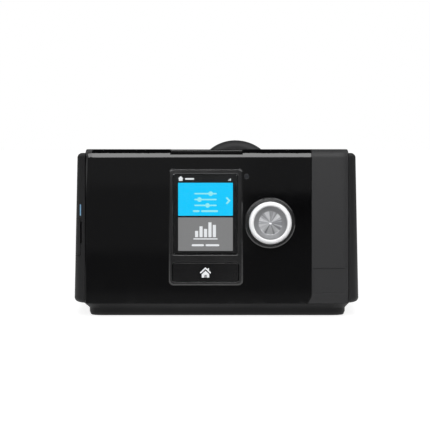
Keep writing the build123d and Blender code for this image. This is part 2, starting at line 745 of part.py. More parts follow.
with BuildPart() as card_door:
    add(cap_patch(-outside, door_front_x, -outside, pivot_y, door_z_low, door_z_high))
    with Locations((pivot_x, pivot_y, (door_z_low + door_z_high) / 2)):
        Cylinder(door_barrel, door_z_high - door_z_low)
        Cylinder(pin_radius + 0.03, door_z_high - door_z_low, mode=Mode.SUBTRACT)
save(card_door, "card_door")

with BuildPart() as card_door_pin:
    with Locations((pivot_x, pivot_y, (door_z_low + door_z_high) / 2)):
        Cylinder(pin_radius, door_z_high - door_z_low + 6)
save(card_door_pin, "card_door_pin")

# Adapter cover: a clipped plate that lifts straight off sideways.
with BuildPart() as adapter_cover:
    add(cap_patch(-outside, adapter_inner_x, *adapter_field))
    for z in (adapter_z_low + 1, adapter_z_high - 2.6):
        slab(adapter_inner_x - 3.5, adapter_inner_x + 1.5, adapter_y_low + 12, adapter_y_high - 12,
             z, z + 1.6)
    adapter_mid_y = (adapter_y_low + adapter_y_high) / 2
    slab(-outside, 1.3 - half_width, *grown(adapter_mid_y, adapter_mid_y, adapter_grip / 2),
         adapter_z_low - 1, adapter_z_low + 1.4, mode=Mode.SUBTRACT)
save(adapter_cover, "adapter_cover")

with BuildPart() as adapter_connector:
    slab(seam_left + 0.3, seam_left + 9, *grown(adapter_y_low, adapter_y_high, -connector_margin - 0.4),
         *grown(adapter_z_low, adapter_z_high, -4.4))
    slab(seam_left, seam_left + 6, *grown(adapter_y_low, adapter_y_high, -connector_margin - 2.4),
         *grown(adapter_z_low, adapter_z_high, -6.4), mode=Mode.SUBTRACT)
save(adapter_connector, "adapter_connector")

# ---------------------------------------------------------------- base tray
def tray_form(z, inset):
    """Plan of the tray at height z, drawn in by inset."""
    with BuildSketch(Plane.XY.offset(z)) as plan:
        with Locations((0, (tray_front_y + tray_rear_y) / 2)):
            RectangleRounded(
                2 * (tray_half_width - inset),
                tray_rear_y - tray_front_y - 2 * inset,
                corner_radius - inset / 2,
            )
    return plan.sketch


band_in, band_down = tray_band
tray_floor_z = tray_bottom + tray_floor
heater_x, heater_y = heater_center
heater_width, heater_depth, heater_thick = heater_size
with BuildPart() as base_tray:
    loft([tray_form(tray_top, 0), tray_form(tray_top - band_down, band_in)])
    plinth_height = tray_top - band_down - tray_bottom
    add(extrude(tray_form(tray_bottom, band_in), amount=plinth_height, mode=Mode.PRIVATE))
    chamfer(base_tray.faces().sort_by(Axis.Z)[0].edges(), tray_edge)
    add(extrude(tray_form(tray_floor_z, band_in + wall), amount=20, mode=Mode.PRIVATE), mode=Mode.SUBTRACT)
    # ribs under the humidifier bay, posts for the blower mounts and the screws
    for y in (bay_y_low + 6, bay_y_high - 6):
        slab(bay_x_low + 4, seam_right - 12, y - 1, y + 1, tray_floor_z, bay_z_low)
    for x in (heater_x - heater_width / 2 - 4, heater_x + heater_width / 2 + 4):
        slab(x - 1, x + 1, bay_y_low + 6, bay_y_high - 6, tray_floor_z, bay_z_low)
    with BuildSketch(Plane.XY.offset(tray_floor_z)):
        with Locations(*screw_places):
            Circle(screw_head + 1.6)
    extrude(amount=tray_top - tray_floor_z - 1)
    with BuildSketch(Plane.XY.offset(tray_bottom)):
        with Locations(*screw_places):
            Circle(screw_shank + 0.1)
    extrude(amount=tray_top, mode=Mode.SUBTRACT)
    with BuildSketch(Plane.XY.offset(tray_bottom)):
        with Locations(*screw_places):
            Circle(screw_head + 0.2)
    extrude(amount=screw_recess, mode=Mode.SUBTRACT)
    # foot seats
    with BuildSketch(Plane.XY.offset(tray_bottom)):
        with Locations(*foot_places):
            Circle(foot_radius + 0.1)
    extrude(amount=1, mode=Mode.SUBTRACT)
save(base_tray, "base_tray")

with BuildPart() as base_screws:
    with BuildSketch(Plane.XY.offset(tray_bottom + screw_recess)):
        with Locations(*screw_places):
            Circle(screw_head)
    extrude(amount=-1.8)
    with BuildSketch(Plane.XY.offset(tray_bottom + screw_recess)):
        with Locations(*screw_places):
            Circle(screw_shank)
    extrude(amount=tray_top - tray_bottom - screw_recess + 3)
save(base_screws, "base_screws")

with BuildPart() as rubber_feet:
    with BuildSketch():
        with Locations(*foot_places):
            Circle(foot_radius)
    extrude(amount=tray_bottom + 1)
    chamfer(rubber_feet.faces().group_by(Axis.Z)[0].edges(), 0.5)
save(rubber_feet, "rubber_feet")

# ---------------------------------------------------------------- humidifier bay and heater
bay_x_high = seam_right - end_wall
with BuildPart() as humidifier_bay:
    slab(bay_x_low, bay_x_high, bay_y_low, bay_y_high, bay_z_low, bay_z_high)
    fillet(humidifier_bay.edges().filter_by(Axis.X), 4)
    slab(bay_x_low + bay_wall, bay_x_high, *bay_mouth, mode=Mode.SUBTRACT)
    slab(heater_x - heater_width / 2 - 0.4, heater_x + heater_width / 2 + 0.4,
         heater_y - heater_depth / 2 - 0.4, heater_y + heater_depth / 2 + 0.4,
         bay_z_low - 1, bay_z_low + bay_wall + 1, mode=Mode.SUBTRACT)
    with BuildSketch(Plane.YZ.offset(bay_x_low)):
        with Locations((port_inlet_y, port_z), (port_outlet_y, port_z)):
            Circle(port_radius)
    extrude(amount=bay_wall, mode=Mode.SUBTRACT)
save(humidifier_bay, "humidifier_bay")

with BuildPart() as heater_plate:
    slab(heater_x - heater_width / 2, heater_x + heater_width / 2,
         heater_y - heater_depth / 2, heater_y + heater_depth / 2, heater_top - heater_thick, heater_top)
    fillet(heater_plate.edges().filter_by(Axis.Z), 3)
    chamfer(heater_plate.faces().sort_by(Axis.Z)[-1].edges(), 0.6)
save(heater_plate, "heater_plate")

# Four silicone columns carry the heater plate and let it give.
with BuildPart() as heater_pads:
    with BuildSketch(Plane.XY.offset(tray_floor_z)):
        with Locations((heater_x, heater_y)):
            with GridLocations(heater_width - 16, heater_depth - 14, 2, 2):
                Circle(3.5)
    extrude(amount=heater_top - heater_thick - tray_floor_z)
save(heater_pads, "heater_pads")

# ---------------------------------------------------------------- water tub unit
tub_y_low = bay_y_low + bay_wall + tub_clearance
tub_y_high = bay_y_high - bay_wall - tub_clearance
tub_x_high = seam_right + seam_gap
plate_rim = 2.0
with BuildPart() as tub_base:
    slab(tub_x_low, tub_x_high, tub_y_low, tub_y_high, tub_bottom, seal_bottom)
    fillet(tub_base.edges().filter_by(Axis.Z), 5)
    offset(amount=-tub_wall, openings=tub_base.faces().sort_by(Axis.Z)[-1])
    slab(heater_x - heater_width / 2, heater_x + heater_width / 2,
         heater_y - heater_depth / 2, heater_y + heater_depth / 2,
         tub_bottom - 1, tub_bottom + tub_wall, mode=Mode.SUBTRACT)
save(tub_base, "tub_base")

with BuildPart() as tub_metal_plate:
    slab(heater_x - heater_width / 2, heater_x + heater_width / 2,
         heater_y - heater_depth / 2, heater_y + heater_depth / 2, tub_bottom, tub_bottom + tub_wall)
    slab(heater_x - heater_width / 2 - plate_rim, heater_x + heater_width / 2 + plate_rim,
         heater_y - heater_depth / 2 - plate_rim, heater_y + heater_depth / 2 + plate_rim,
         tub_bottom + tub_wall, tub_bottom + tub_wall + 0.8)
    slab(heater_x - heater_width / 2 + 1, heater_x + heater_width / 2 - 1,
         heater_y - heater_depth / 2 + 1, heater_y + heater_depth / 2 - 1,
         tub_bottom + 0.9, tub_bottom + tub_wall + 1, mode=Mode.SUBTRACT)
save(tub_metal_plate, "tub_metal_plate")

with BuildPart() as tub_seal:
    with BuildSketch(Plane.XY.offset(seal_bottom)):
        with Locations(((tub_x_low + tub_x_high) / 2, (tub_y_low + tub_y_high) / 2)):
            RectangleRounded(tub_x_high - tub_x_low - 0.4, tub_y_high - tub_y_low - 0.4, 4.8)
            RectangleRounded(tub_x_high - tub_x_low - 5, tub_y_high - tub_y_low - 5, 3, mode=Mode.SUBTRACT)
    extrude(amount=lid_bottom - seal_bottom)
save(tub_seal, "tub_seal")

with BuildPart() as tub_lid:
    slab(tub_x_low, tub_x_high, tub_y_low, tub_y_high, lid_bottom, lid_top)
    fillet(tub_lid.edges().filter_by(Axis.Z), 5)
    offset(amount=-tub_wall, openings=tub_lid.faces().sort_by(Axis.Z)[0])
    # air ports in the inner end; the inlet runs on as a tube over the water
    with BuildSketch(Plane.YZ.offset(tub_x_low)):
        with Locations((port_inlet_y, port_z)):
            Circle(port_radius + 1)
    extrude(amount=38)
    with BuildSketch(Plane.YZ.offset(tub_x_low)):
        with Locations((port_outlet_y, port_z)):
            Circle(port_radius + 1)
    extrude(amount=10)
    with BuildSketch(Plane.YZ.offset(tub_x_low - 1)):
        with Locations((port_inlet_y, port_z), (port_outlet_y, port_z)):
            Circle(port_radius)
    extrude(amount=60, mode=Mode.SUBTRACT)
save(tub_lid, "tub_lid")

# Soft cuffs that seal the bay's ports against the tub's inner end.
with BuildPart() as port_cuffs:
    with BuildSketch(Plane.YZ.offset(bay_x_low + bay_wall)):
        with Locations((port_inlet_y, port_z), (port_outlet_y, port_z)):
            Circle(port_radius + 2.5)
            Circle(port_radius, mode=Mode.SUBTRACT)
    extrude(amount=tub_x_low - bay_x_low - bay_wall - 0.2)
save(port_cuffs, "port_cuffs")

# The tub's outer end is the machine's right end cap, with a press latch in its top and bottom.
cap_x_low = seam_right + seam_gap
latch_x_low = cap_x_low + cover_gap
latch_field = (latch_x_low, latch_x_low + latch_length, -latch_width / 2, latch_width / 2)
latch_opening = (
    cap_x_low - 1,
    latch_x_low + latch_length + cover_gap,
    -latch_width / 2 - cover_gap,
    latch_width / 2 + cover_gap,
)
tongue_y_low, tongue_y_high, tongue_z_low, tongue_z_high = tongue_slot
with BuildPart() as tub_end_cap:
    add(cap_skin)
    slab(cap_x_low, outside, -outside, outside, 0, outside, mode=Mode.INTERSECT)
    slab(*end_cap_hollow, mode=Mode.SUBTRACT)
    slab(*latch_opening, tongue_z_low, cap_top + 1, mode=Mode.SUBTRACT)
    slab(*latch_opening, shell_bottom - 1, shell_bottom + wall + 2 * latch_travel + 1, mode=Mode.SUBTRACT)
save(tub_end_cap, "tub_end_cap")

with BuildPart() as upper_latch:
    latch_roof = top_at(latch_width / 2, cap_top) - wall
    add(cap_patch(*latch_field, latch_roof, outside))
    slab(*latch_field, tongue_z_low + latch_travel + 0.3, latch_roof + 1)
    slab(seam_right - end_wall - 1.5, latch_x_low + 1, tongue_y_low + 1, tongue_y_high - 1,
         tongue_z_low + latch_travel + 0.3, tongue_z_high - 1)
save(upper_latch, "upper_latch")

with BuildPart() as lower_latch:
    add(cap_patch(*latch_field, shell_bottom - 1, shell_bottom + wall))
    slab(*latch_field, shell_bottom + wall - 0.2, shell_bottom + wall + latch_travel)
save(lower_latch, "lower_latch")

# ---------------------------------------------------------------- blower
# Scroll housing whose radius grows from the tongue round to the outlet, which points at the bay.
scroll_tongue, scroll_turn = -50, 320      # degrees: where the spiral starts, how far it goes round


def scroll_radius(turn, inset):
    return scroll_start + scroll_growth * turn / 360 - inset


def scroll_outline(z, inset):
    """Plan of the scroll and its outlet duct, drawn in by inset."""
    points = []
    for turn in range(0, scroll_turn + 1, 40):
        angle = radians(scroll_tongue + turn)
        radius = scroll_radius(turn, inset)
        points.append((blower_x + radius * cos(angle), blower_y + radius * sin(angle)))
    duct_low = blower_y - scroll_radius(scroll_turn, 0) + inset
    duct_high = duct_low + scroll_duct - 2 * inset
    duct_end = bay_x_low - sleeve_length + (2 if inset else 0)
    start_angle = radians(scroll_tongue + 90)
    with BuildSketch(Plane.XY.offset(z)) as plan:
        with BuildLine():
            Spline(*points, tangents=[(cos(start_angle), sin(start_angle)), (1, 0)])
            Line(points[-1], points[0])
        make_face()
        with Locations(((blower_x + duct_end) / 2, (duct_low + duct_high) / 2)):
            Rectangle(duct_end - blower_x, duct_high - duct_low)
    return plan.sketch


scroll_split = (scroll_z_low + scroll_z_high) / 2
with BuildPart() as scroll_cavity:
    cavity_height = scroll_z_high - scroll_z_low - 2 * scroll_wall
    extrude(scroll_outline(scroll_z_low + scroll_wall, scroll_wall), amount=cavity_height)

with BuildPart() as blower_lower_scroll:
    extrude(scroll_outline(scroll_z_low, 0), amount=scroll_split - scroll_z_low)
    add(scroll_cavity.part, mode=Mode.SUBTRACT)
    with Locations((blower_x, blower_y, scroll_z_low)):
        Cylinder(motor_shaft_radius + 2, 2 * scroll_wall + 2, mode=Mode.SUBTRACT)
save(blower_lower_scroll, "blower_lower_scroll")

with BuildPart() as blower_upper_scroll:
    extrude(scroll_outline(scroll_split, 0), amount=scroll_z_high - scroll_split)
    add(scroll_cavity.part, mode=Mode.SUBTRACT)
    with Locations((blower_x, blower_y, scroll_z_high)):
        Cylinder(14, 3, align=(Align.CENTER, Align.CENTER, Align.MIN))
        Cylinder(12, 3 * scroll_wall + 8, mode=Mode.SUBTRACT)
save(blower_upper_scroll, "blower_upper_scroll")

# Impeller: back plate, hub and backward-curved blades.
plate_z = scroll_z_low + scroll_wall + 2
blade_height = 11.0
blade_bend = 20.0
with BuildPart() as impeller:
    with BuildSketch(Plane.XY.offset(plate_z)):
        with Locations((blower_x, blower_y)):
            Circle(impeller_radius)
    extrude(amount=1.4)
    with BuildSketch(Plane.XY.offset(plate_z)):
        with Locations((blower_x, blower_y)):
            Circle(6)
    extrude(amount=blade_height)
    with BuildSketch(Plane.XY.offset(plate_z + 1.4)):
        with Locations((blower_x, blower_y)):
            with PolarLocations(0, impeller_blades):
                SlotArc(RadiusArc((8.5, 0), (impeller_radius - 1.6, -9), blade_bend, mode=Mode.PRIVATE), 1.2)
    extrude(amount=blade_height - 1.4)
    with Locations((blower_x, blower_y, plate_z + blade_height / 2)):
        Cylinder(motor_shaft_radius, blade_height + 2, mode=Mode.SUBTRACT)
save(impeller, "impeller")

with BuildPart() as blower_motor:
    with BuildSketch(Plane.XY.offset(motor_z_low)):
        with Locations((blower_x, blower_y)):
            Circle(motor_radius)
    extrude(amount=scroll_z_low - motor_z_low)
    fillet(blower_motor.faces().sort_by(Axis.Z)[0].edges(), 3)
    with Locations((blower_x, blower_y, scroll_z_low)):
        Cylinder(motor_shaft_radius + 0.05, 2 * (scroll_z_low - motor_z_low - 4), mode=Mode.SUBTRACT)
save(blower_motor, "blower_motor")

with BuildPart() as motor_shaft:
    with BuildSketch(Plane.XY.offset(motor_z_low + 4.5)):
        with Locations((blower_x, blower_y)):
            Circle(motor_shaft_radius)
    extrude(amount=plate_z + blade_height - motor_z_low - 4.5)
save(motor_shaft, "motor_shaft")

# Three soft mounts between the motor and the tray.
with BuildPart() as blower_isolators:
    with BuildSketch(Plane.XY.offset(tray_floor_z)):
        with Locations((blower_x, blower_y)):
            with PolarLocations(motor_radius - 7, 3):
                Circle(5)
    extrude(amount=motor_z_low - tray_floor_z)
save(blower_isolators, "blower_isolators")

duct_mid_y = blower_y - scroll_radius(scroll_turn, 0) + scroll_duct / 2
with BuildPart() as blower_sleeve:
    with BuildSketch(Plane.YZ.offset(bay_x_low - sleeve_length)) as sleeve_start:
        with Locations((duct_mid_y, (scroll_z_low + scroll_z_high) / 2)):
            RectangleRounded(scroll_duct, scroll_z_high - scroll_z_low, 2)
    with BuildSketch(Plane.YZ.offset(bay_x_low)) as sleeve_end:
        with Locations((port_inlet_y, port_z)):
            Circle(port_radius + 1.5)
    loft()
    with BuildSketch(Plane.YZ.offset(bay_x_low - sleeve_length)):
        with Locations((duct_mid_y, (scroll_z_low + scroll_z_high) / 2)):
            RectangleRounded(scroll_duct - 3, scroll_z_high - scroll_z_low - 3, 1)
    with BuildSketch(Plane.YZ.offset(bay_x_low)):
        with Locations((port_inlet_y, port_z)):
            Circle(port_radius)
    loft(mode=Mode.SUBTRACT)
save(blower_sleeve, "blower_sleeve")

# Humid air goes up from the bay, over its roof and into the outlet hood.
duct_radius, duct_bore, duct_bend = port_radius - 0.5, port_radius - 1.9, 9.5
riser_x = bay_x_low - duct_bend - 1
roof_z = outlet_z + port_radius
duct_route = [
    (bay_x_low, port_outlet_y, port_z),
    (riser_x, port_outlet_y, port_z),
    (riser_x, port_outlet_y, roof_z),
    (outlet_x, port_outlet_y, roof_z),
    (outlet_x, hood_y_low, roof_z),
]
with BuildPart() as outlet_duct:
    with BuildLine() as duct_path:
        FilletPolyline(*duct_route, radius=duct_bend)
    with BuildSketch(Plane(origin=duct_route[0], z_dir=(-1, 0, 0))):
        Circle(duct_radius)
        Circle(duct_bore, mode=Mode.SUBTRACT)
    sweep()
save(outlet_duct, "outlet_duct")

# Sound-absorbing foam over the blower's intake.
muffler_y_low = -27.0
with BuildPart() as muffler_foam:
    muffler_y_high = hood_y_low - 2
    slab(seam_left + end_wall + 2, riser_x - duct_radius - 2, muffler_y_low, muffler_y_high,
         scroll_z_high + 3.5, top_at(muffler_y_high, shell_top) - wall - 1)
    fillet(muffler_foam.edges().filter_by(Axis.Z), 6)
save(muffler_foam, "muffler_foam")

# ---------------------------------------------------------------- filter and its cover
filter_mid_z = (filter_z_low + filter_z_high) / 2
with BuildPart() as air_filter:
    slab(*grown(filter_x_low, filter_x_high, -1.4), rear_y - filter_frame_depth + wall, rear_y - wall - 1.5,
         *grown(filter_z_low, filter_z_high, -1.4))
save(air_filter, "air_filter")

with BuildPart() as filter_cover:
    slab(cover_pivot[0], filter_x_high, rear_y - wall, rear_y, filter_z_low, filter_z_high)
    with BuildSketch(Plane.XZ.offset(-rear_y)):
        with Locations(((filter_x_low + filter_x_high) / 2, filter_mid_z)):
            with GridLocations(0, 6, 1, 7):
                SlotOverall(36, 2.4)
    extrude(amount=wall + 1, mode=Mode.SUBTRACT)
    with Locations((cover_pivot[0], cover_pivot[1], filter_mid_z)):
        Cylinder(door_barrel, filter_z_high - filter_z_low)
        Cylinder(pin_radius + 0.03, filter_z_high - filter_z_low, mode=Mode.SUBTRACT)
    slab(filter_x_high - 1.4, filter_x_high + 1, rear_y - 1.2, rear_y + 1,
         *grown(filter_mid_z, filter_mid_z, 7), mode=Mode.SUBTRACT)
save(filter_cover, "filter_cover")

with BuildPart() as filter_cover_pin:
    with Locations((cover_pivot[0], cover_pivot[1], filter_mid_z)):
        Cylinder(pin_radius, filter_z_high - filter_z_low + 6)
save(filter_cover_pin, "filter_cover_pin")

# ---------------------------------------------------------------- power inlet and clip
with BuildPart() as power_inlet:
    with BuildSketch(Plane.XZ.offset(-rear_y)):
        with Locations((inlet_x, inlet_z)):
            RectangleRounded(socket_width + 4.8, socket_height + 4.8, 2.9)
    extrude(amount=socket_depth + 3)
    with BuildSketch(Plane.XZ.offset(-rear_y)):
        with Locations((inlet_x, inlet_z)):
            RectangleRounded(socket_width, socket_height, 2)
    extrude(amount=socket_depth, mode=Mode.SUBTRACT)
save(power_inlet, "power_inlet")

with BuildPart() as power_contacts:
    with BuildSketch(Plane.XZ.offset(-rear_y + socket_depth)):
        with Locations((inlet_x, inlet_z)):
            with GridLocations(4, 0, 3, 1):
                Circle(0.7)
    extrude(amount=-6)
save(power_contacts, "power_contacts")

clip_depth = (clip_pivot_y - 1.3, clip_pivot_y + 1.3)
with BuildPart() as retention_clip:
    for side in (-1, 1):
        arm_x = inlet_x + side * clip_half_span
        slab(arm_x - 1.5, arm_x + 1.5, *clip_depth, clip_pivot_z - clip_height, clip_pivot_z)
        with BuildSketch(Plane.YZ.offset(arm_x - 1.5)):
            with Locations((clip_pivot_y, clip_pivot_z)):
                Circle(2.2)
        extrude(amount=3)
        with BuildSketch(Plane.YZ.offset(arm_x)):
            with Locations((clip_pivot_y, clip_pivot_z)):
                Circle(1.2)
        extrude(amount=side * 6)
    slab(*grown(inlet_x, inlet_x, clip_half_span + 1.5), *clip_depth,
         clip_pivot_z - clip_height, clip_pivot_z - clip_height + 3)
save(retention_clip, "retention_clip")

# ---------------------------------------------------------------- main board and card
board_face_y = card_y + card_thick / 2 + 1
board_top_z = 98.0
with BuildPart() as main_circuit_board:
    slab(seam_left + end_wall + 0.5, bay_x_low - 4, board_face_y, board_face_y + board_thick,
         tray_top + 2.4, board_top_z)
save(main_circuit_board, "main_circuit_board")

with BuildPart() as card_socket:
    slab(seam_left + end_wall + 1, card_x_low + card_length + 1.5, card_y - card_thick / 2 - 1, board_face_y,
         *grown(card_z - card_width / 2, card_z + card_width / 2, 1.5))
    card_slot_end = card_x_low + card_length + card_travel + 0.1
    slab(seam_left, card_slot_end, *grown(card_y, card_y, card_thick / 2 + 0.15),
         *grown(card_z, card_z, card_width / 2 + 0.2), mode=Mode.SUBTRACT)
save(card_socket, "card_socket")

with BuildPart() as memory_card:
    slab(card_x_low, card_x_low + card_length, card_y - card_thick / 2, card_y + card_thick / 2,
         card_z - card_width / 2, card_z + card_width / 2)
    chamfer(memory_card.edges().filter_by(Axis.Y).sort_by(Axis.X)[-1], 3)
save(memory_card, "memory_card")
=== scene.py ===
import bmesh
import bpy
from math import cos, pi, radians, sin, tau
from mathutils import Matrix, Vector
from mathutils.noise import noise


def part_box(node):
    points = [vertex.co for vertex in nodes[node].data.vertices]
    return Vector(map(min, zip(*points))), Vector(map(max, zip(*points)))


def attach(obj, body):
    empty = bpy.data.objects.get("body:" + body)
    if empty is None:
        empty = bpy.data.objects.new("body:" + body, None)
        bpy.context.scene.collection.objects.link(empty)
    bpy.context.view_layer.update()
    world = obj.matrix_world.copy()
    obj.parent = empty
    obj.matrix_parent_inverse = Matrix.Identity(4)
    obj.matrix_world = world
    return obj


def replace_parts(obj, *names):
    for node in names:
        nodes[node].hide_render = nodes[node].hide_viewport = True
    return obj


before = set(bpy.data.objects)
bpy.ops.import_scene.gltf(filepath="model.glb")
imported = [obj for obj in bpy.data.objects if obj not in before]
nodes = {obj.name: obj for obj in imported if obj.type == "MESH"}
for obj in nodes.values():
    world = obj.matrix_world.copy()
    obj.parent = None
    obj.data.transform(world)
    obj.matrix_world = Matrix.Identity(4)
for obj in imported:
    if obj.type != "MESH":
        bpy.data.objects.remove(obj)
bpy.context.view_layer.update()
MM = 0.001

# ---------------------------------------------------------------- base tray
# The plinth that carries everything: one ABS moulding with a bevelled band round its top edge. Its tool was
# spark-eroded, which leaves a fine even grain that scatters the light. Real pits are about 0.1 mm wide, and
# they are drawn coarser so that they show.


def linear(hex_colour):
    """An sRGB hex colour as linear light."""
    parts = [int(hex_colour[i:i + 2], 16) / 255 for i in (1, 3, 5)]
    return [c / 12.92 if c <= 0.04045 else ((c + 0.055) / 1.055) ** 2.4 for c in parts] + [1.0]


def add(tree, kind, inputs=None, **settings):
    """Adds a node with its settings. inputs gives, for each socket, a value or the socket that feeds it."""
    node = tree.nodes.new(kind)
    for name, value in settings.items():
        setattr(node, name, value)
    for socket, value in (inputs or {}).items():
        if isinstance(value, bpy.types.NodeSocket):
            tree.links.new(value, node.inputs[socket])
        else:
            node.inputs[socket].default_value = value
    return node


def material(name, shader_values):
    """A material with a Principled shader: itself, its tree, its shader and its Object coordinates."""
    made = bpy.data.materials.new(name)
    made.use_nodes = True
    tree = made.node_tree
    tree.nodes.clear()
    shader = add(tree, "ShaderNodeBsdfPrincipled", shader_values)
    add(tree, "ShaderNodeOutputMaterial", {"Surface": shader.outputs[0]})
    return made, tree, shader, add(tree, "ShaderNodeTexCoord").outputs["Object"]


def shaded(hex_colour, share):
    """A colour made lighter or darker by a share of its light."""
    return [c * share for c in linear(hex_colour)[:3]] + [1]


def burnished(tree, shader, colour, worn, edge_radius, normal_height, depth, clouds, spread):
    """Shared finish: cloudy colour, edges rubbed a little lighter, softened edges and a fine relief.

    edge_radius and depth are in mm, normal_height and clouds are sockets, and spread is how far the colour
    clouds over."""
    soft = add(tree, "ShaderNodeBevel", {"Radius": edge_radius * MM}, samples=6)
    flat = add(tree, "ShaderNodeNewGeometry")
    turned = add(tree, "ShaderNodeVectorMath", {0: soft.outputs[0], 1: flat.outputs["Normal"]},
                 operation="DOT_PRODUCT")
    edge = add(tree, "ShaderNodeMapRange", {"Value": turned.outputs["Value"], "From Min": 0.998,
                                            "From Max": 0.86})
    rubbed = add(tree, "ShaderNodeMath", {0: edge.outputs[0], 1: clouds}, operation="MULTIPLY")
    base = add(tree, "ShaderNodeMix", {0: clouds, 6: shaded(colour, 1 - spread),
                                       7: shaded(colour, 1 + spread)}, data_type="RGBA")
    tone = add(tree, "ShaderNodeMix", {0: rubbed.outputs[0], 6: base.outputs[2], 7: linear(worn)},
               data_type="RGBA")
    relief = add(tree, "ShaderNodeBump", {"Height": normal_height, "Distance": depth * MM,
                                          "Normal": soft.outputs[0]})
    tree.links.new(tone.outputs[2], shader.inputs["Base Color"])
    tree.links.new(relief.outputs[0], shader.inputs["Normal"])


def moulded(name, colour, worn, roughness, grain=0.4, depth=0.02, specular=0.4):
    """Moulded plastic or rubber. grain is the width of the tool's spark pits and depth their depth, in mm."""
    cloud_width, sheen_spread, edge_radius, spread = 28, 0.05, 0.3, 0.12
    made, tree, shader, place = material(name, {"IOR": 1.53, "Specular IOR Level": specular})
    pits = add(tree, "ShaderNodeTexNoise", {"Vector": place, "Scale": 1 / (grain * MM), "Detail": 3.0})
    clouds = add(tree, "ShaderNodeTexNoise", {"Vector": place, "Scale": 1 / (cloud_width * MM),
                                              "Detail": 5.0}).outputs[0]
    sheen = add(tree, "ShaderNodeMapRange", {"Value": clouds, "From Min": 0.3, "From Max": 0.7,
                                             "To Min": roughness - sheen_spread,
                                             "To Max": roughness + sheen_spread})
    tree.links.new(sheen.outputs[0], shader.inputs["Roughness"])
    burnished(tree, shader, colour, worn, edge_radius, pits.outputs[0], depth, clouds, spread)
    return made


def dress(finish, *names):
    """Gives a finish to every slot of these CAD nodes."""
    for name in names:
        for slot in nodes[name].material_slots:
            slot.material = finish


def put(name, mesh, finish, body):
    """Links a finished mesh as a piece that rides on a body."""
    mesh.materials.clear()
    mesh.materials.append(finish)
    made = bpy.data.objects.new(name, mesh)
    bpy.context.scene.collection.objects.link(made)
    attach(made, body)
    return made


def rise(value, start, end):
    """How far a value has come from start to end, from 0 to 1."""
    return min(max((value - start) / (end - start), 0), 1)


plinth_abs = moulded("abs_spark_eroded_plinth", "#121213", "#202022", 0.57, specular=0.18)

# The moulding's two ends lean out towards the floor, more at the tub's end, and meet it in a small bevel.
# The band above and the seats of the screws stay where they are. All sizes are in mm.
screw_places = [(-83, -37), (83, -43.5), (-83, 53), (83, 53), (-31, 60)]
band_high, band_low, bevel_high, bevel_low = 10.1, 5.7, 3.0, 0.8
end_from, end_to, screw_seat = 78.0, 85.0, 3.7
wall_spread, floor_spread = {-1: 1.2, 1: 2.3}, {-1: 2.6, 1: 3.6}
plinth = bmesh.new()
plinth.from_mesh(nodes["base_tray"].data)
bmesh.ops.remove_doubles(plinth, verts=plinth.verts, dist=0.001 * MM)
for vertex in plinth.verts:
    x, y, z = vertex.co / MM
    side = 1 if x > 0 else -1
    reach = rise(abs(x), end_from, end_to)
    if any((x - screw_x) ** 2 + (y - screw_y) ** 2 < screw_seat ** 2 for screw_x, screw_y in screw_places):
        reach = 0
    leaned = wall_spread[side] * rise(z, band_high, band_low)
    bevelled = (floor_spread[side] - wall_spread[side]) * rise(z, bevel_high, bevel_low)
    vertex.co.x += side * reach * (leaned + bevelled) * MM
plinth_mesh = bpy.data.meshes.new("base_tray_moulding")
plinth.to_mesh(plinth_mesh)
plinth.free()
plinth_mesh.shade_smooth()
plinth_mesh.set_sharp_from_angle(angle=radians(30))
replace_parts(put("base_tray_moulding", plinth_mesh, plinth_abs, "housing"), "base_tray")

# ---------------------------------------------------------------- rubber feet
# Four round pads of soft EPDM rubber pressed into seats under the tray.
# They are dull, with moulding dust in the pores.
foot_rubber = moulded("epdm_rubber_foot", "#1b1b1c", "#343436", 0.82, grain=0.6, depth=0.05)
dress(foot_rubber, "rubber_feet")

# ---------------------------------------------------------------- base screws
# Five self-tapping screws hold the tray to the housing: zinc-plated steel, pan heads with a cross recess,
# sunk in counterbores from below.
screw_steel, tree, shader, place = material("zinc_plated_steel", {"Metallic": 1.0, "Roughness": 0.34})
brushing = add(tree, "ShaderNodeTexNoise", {"Vector": place, "Scale": 1 / (0.5 * MM), "Detail": 4.0})
burnished(tree, shader, "#9a9ca0", "#c9cbce", 0.1, brushing.outputs[0], 0.008, brushing.outputs[0], 0.15)
dress(screw_steel, "display_board_screws", "card_door_pin", "filter_cover_pin", "motor_shaft",
      "encoder_shaft")

screw_head_radius, screw_head_height, screw_shank_radius = 3.0, 1.8, 1.25
cross_length, cross_width, cross_depth = 3.6, 0.8, 1.1


def new_tree(name, sizes):
    """An empty Geometry Nodes tree with named inputs for its sizes, in metres."""
    tree = bpy.data.node_groups.new(name, "GeometryNodeTree")
    tree.interface.new_socket("Geometry", in_out="INPUT", socket_type="NodeSocketGeometry")
    for size in sizes:
        tree.interface.new_socket(size, in_out="INPUT", socket_type="NodeSocketFloat")
    tree.interface.new_socket("Geometry", in_out="OUTPUT", socket_type="NodeSocketGeometry")
    return tree, add(tree, "NodeGroupInput").outputs


def grow(name, points, tree, sizes, finish, body):
    """Runs a tree on a set of points, and makes the result a plain mesh that rides on a body."""
    seed = bpy.data.meshes.new(name + "_points")
    seed.from_pydata([Vector(p) * MM for p in points], [], [])
    holder = bpy.data.objects.new(name + "_holder", seed)
    bpy.context.scene.collection.objects.link(holder)
    modifier = holder.modifiers.new("grow", "NODES")
    modifier.node_group = tree
    for item in tree.interface.items_tree:
        if item.in_out == "INPUT" and item.name in sizes:
            modifier[item.identifier] = sizes[item.name] * MM
    shown = holder.evaluated_get(bpy.context.evaluated_depsgraph_get())
    mesh = bpy.data.meshes.new_from_object(shown)
    bpy.data.objects.remove(holder)
    return put(name, mesh, finish, body)


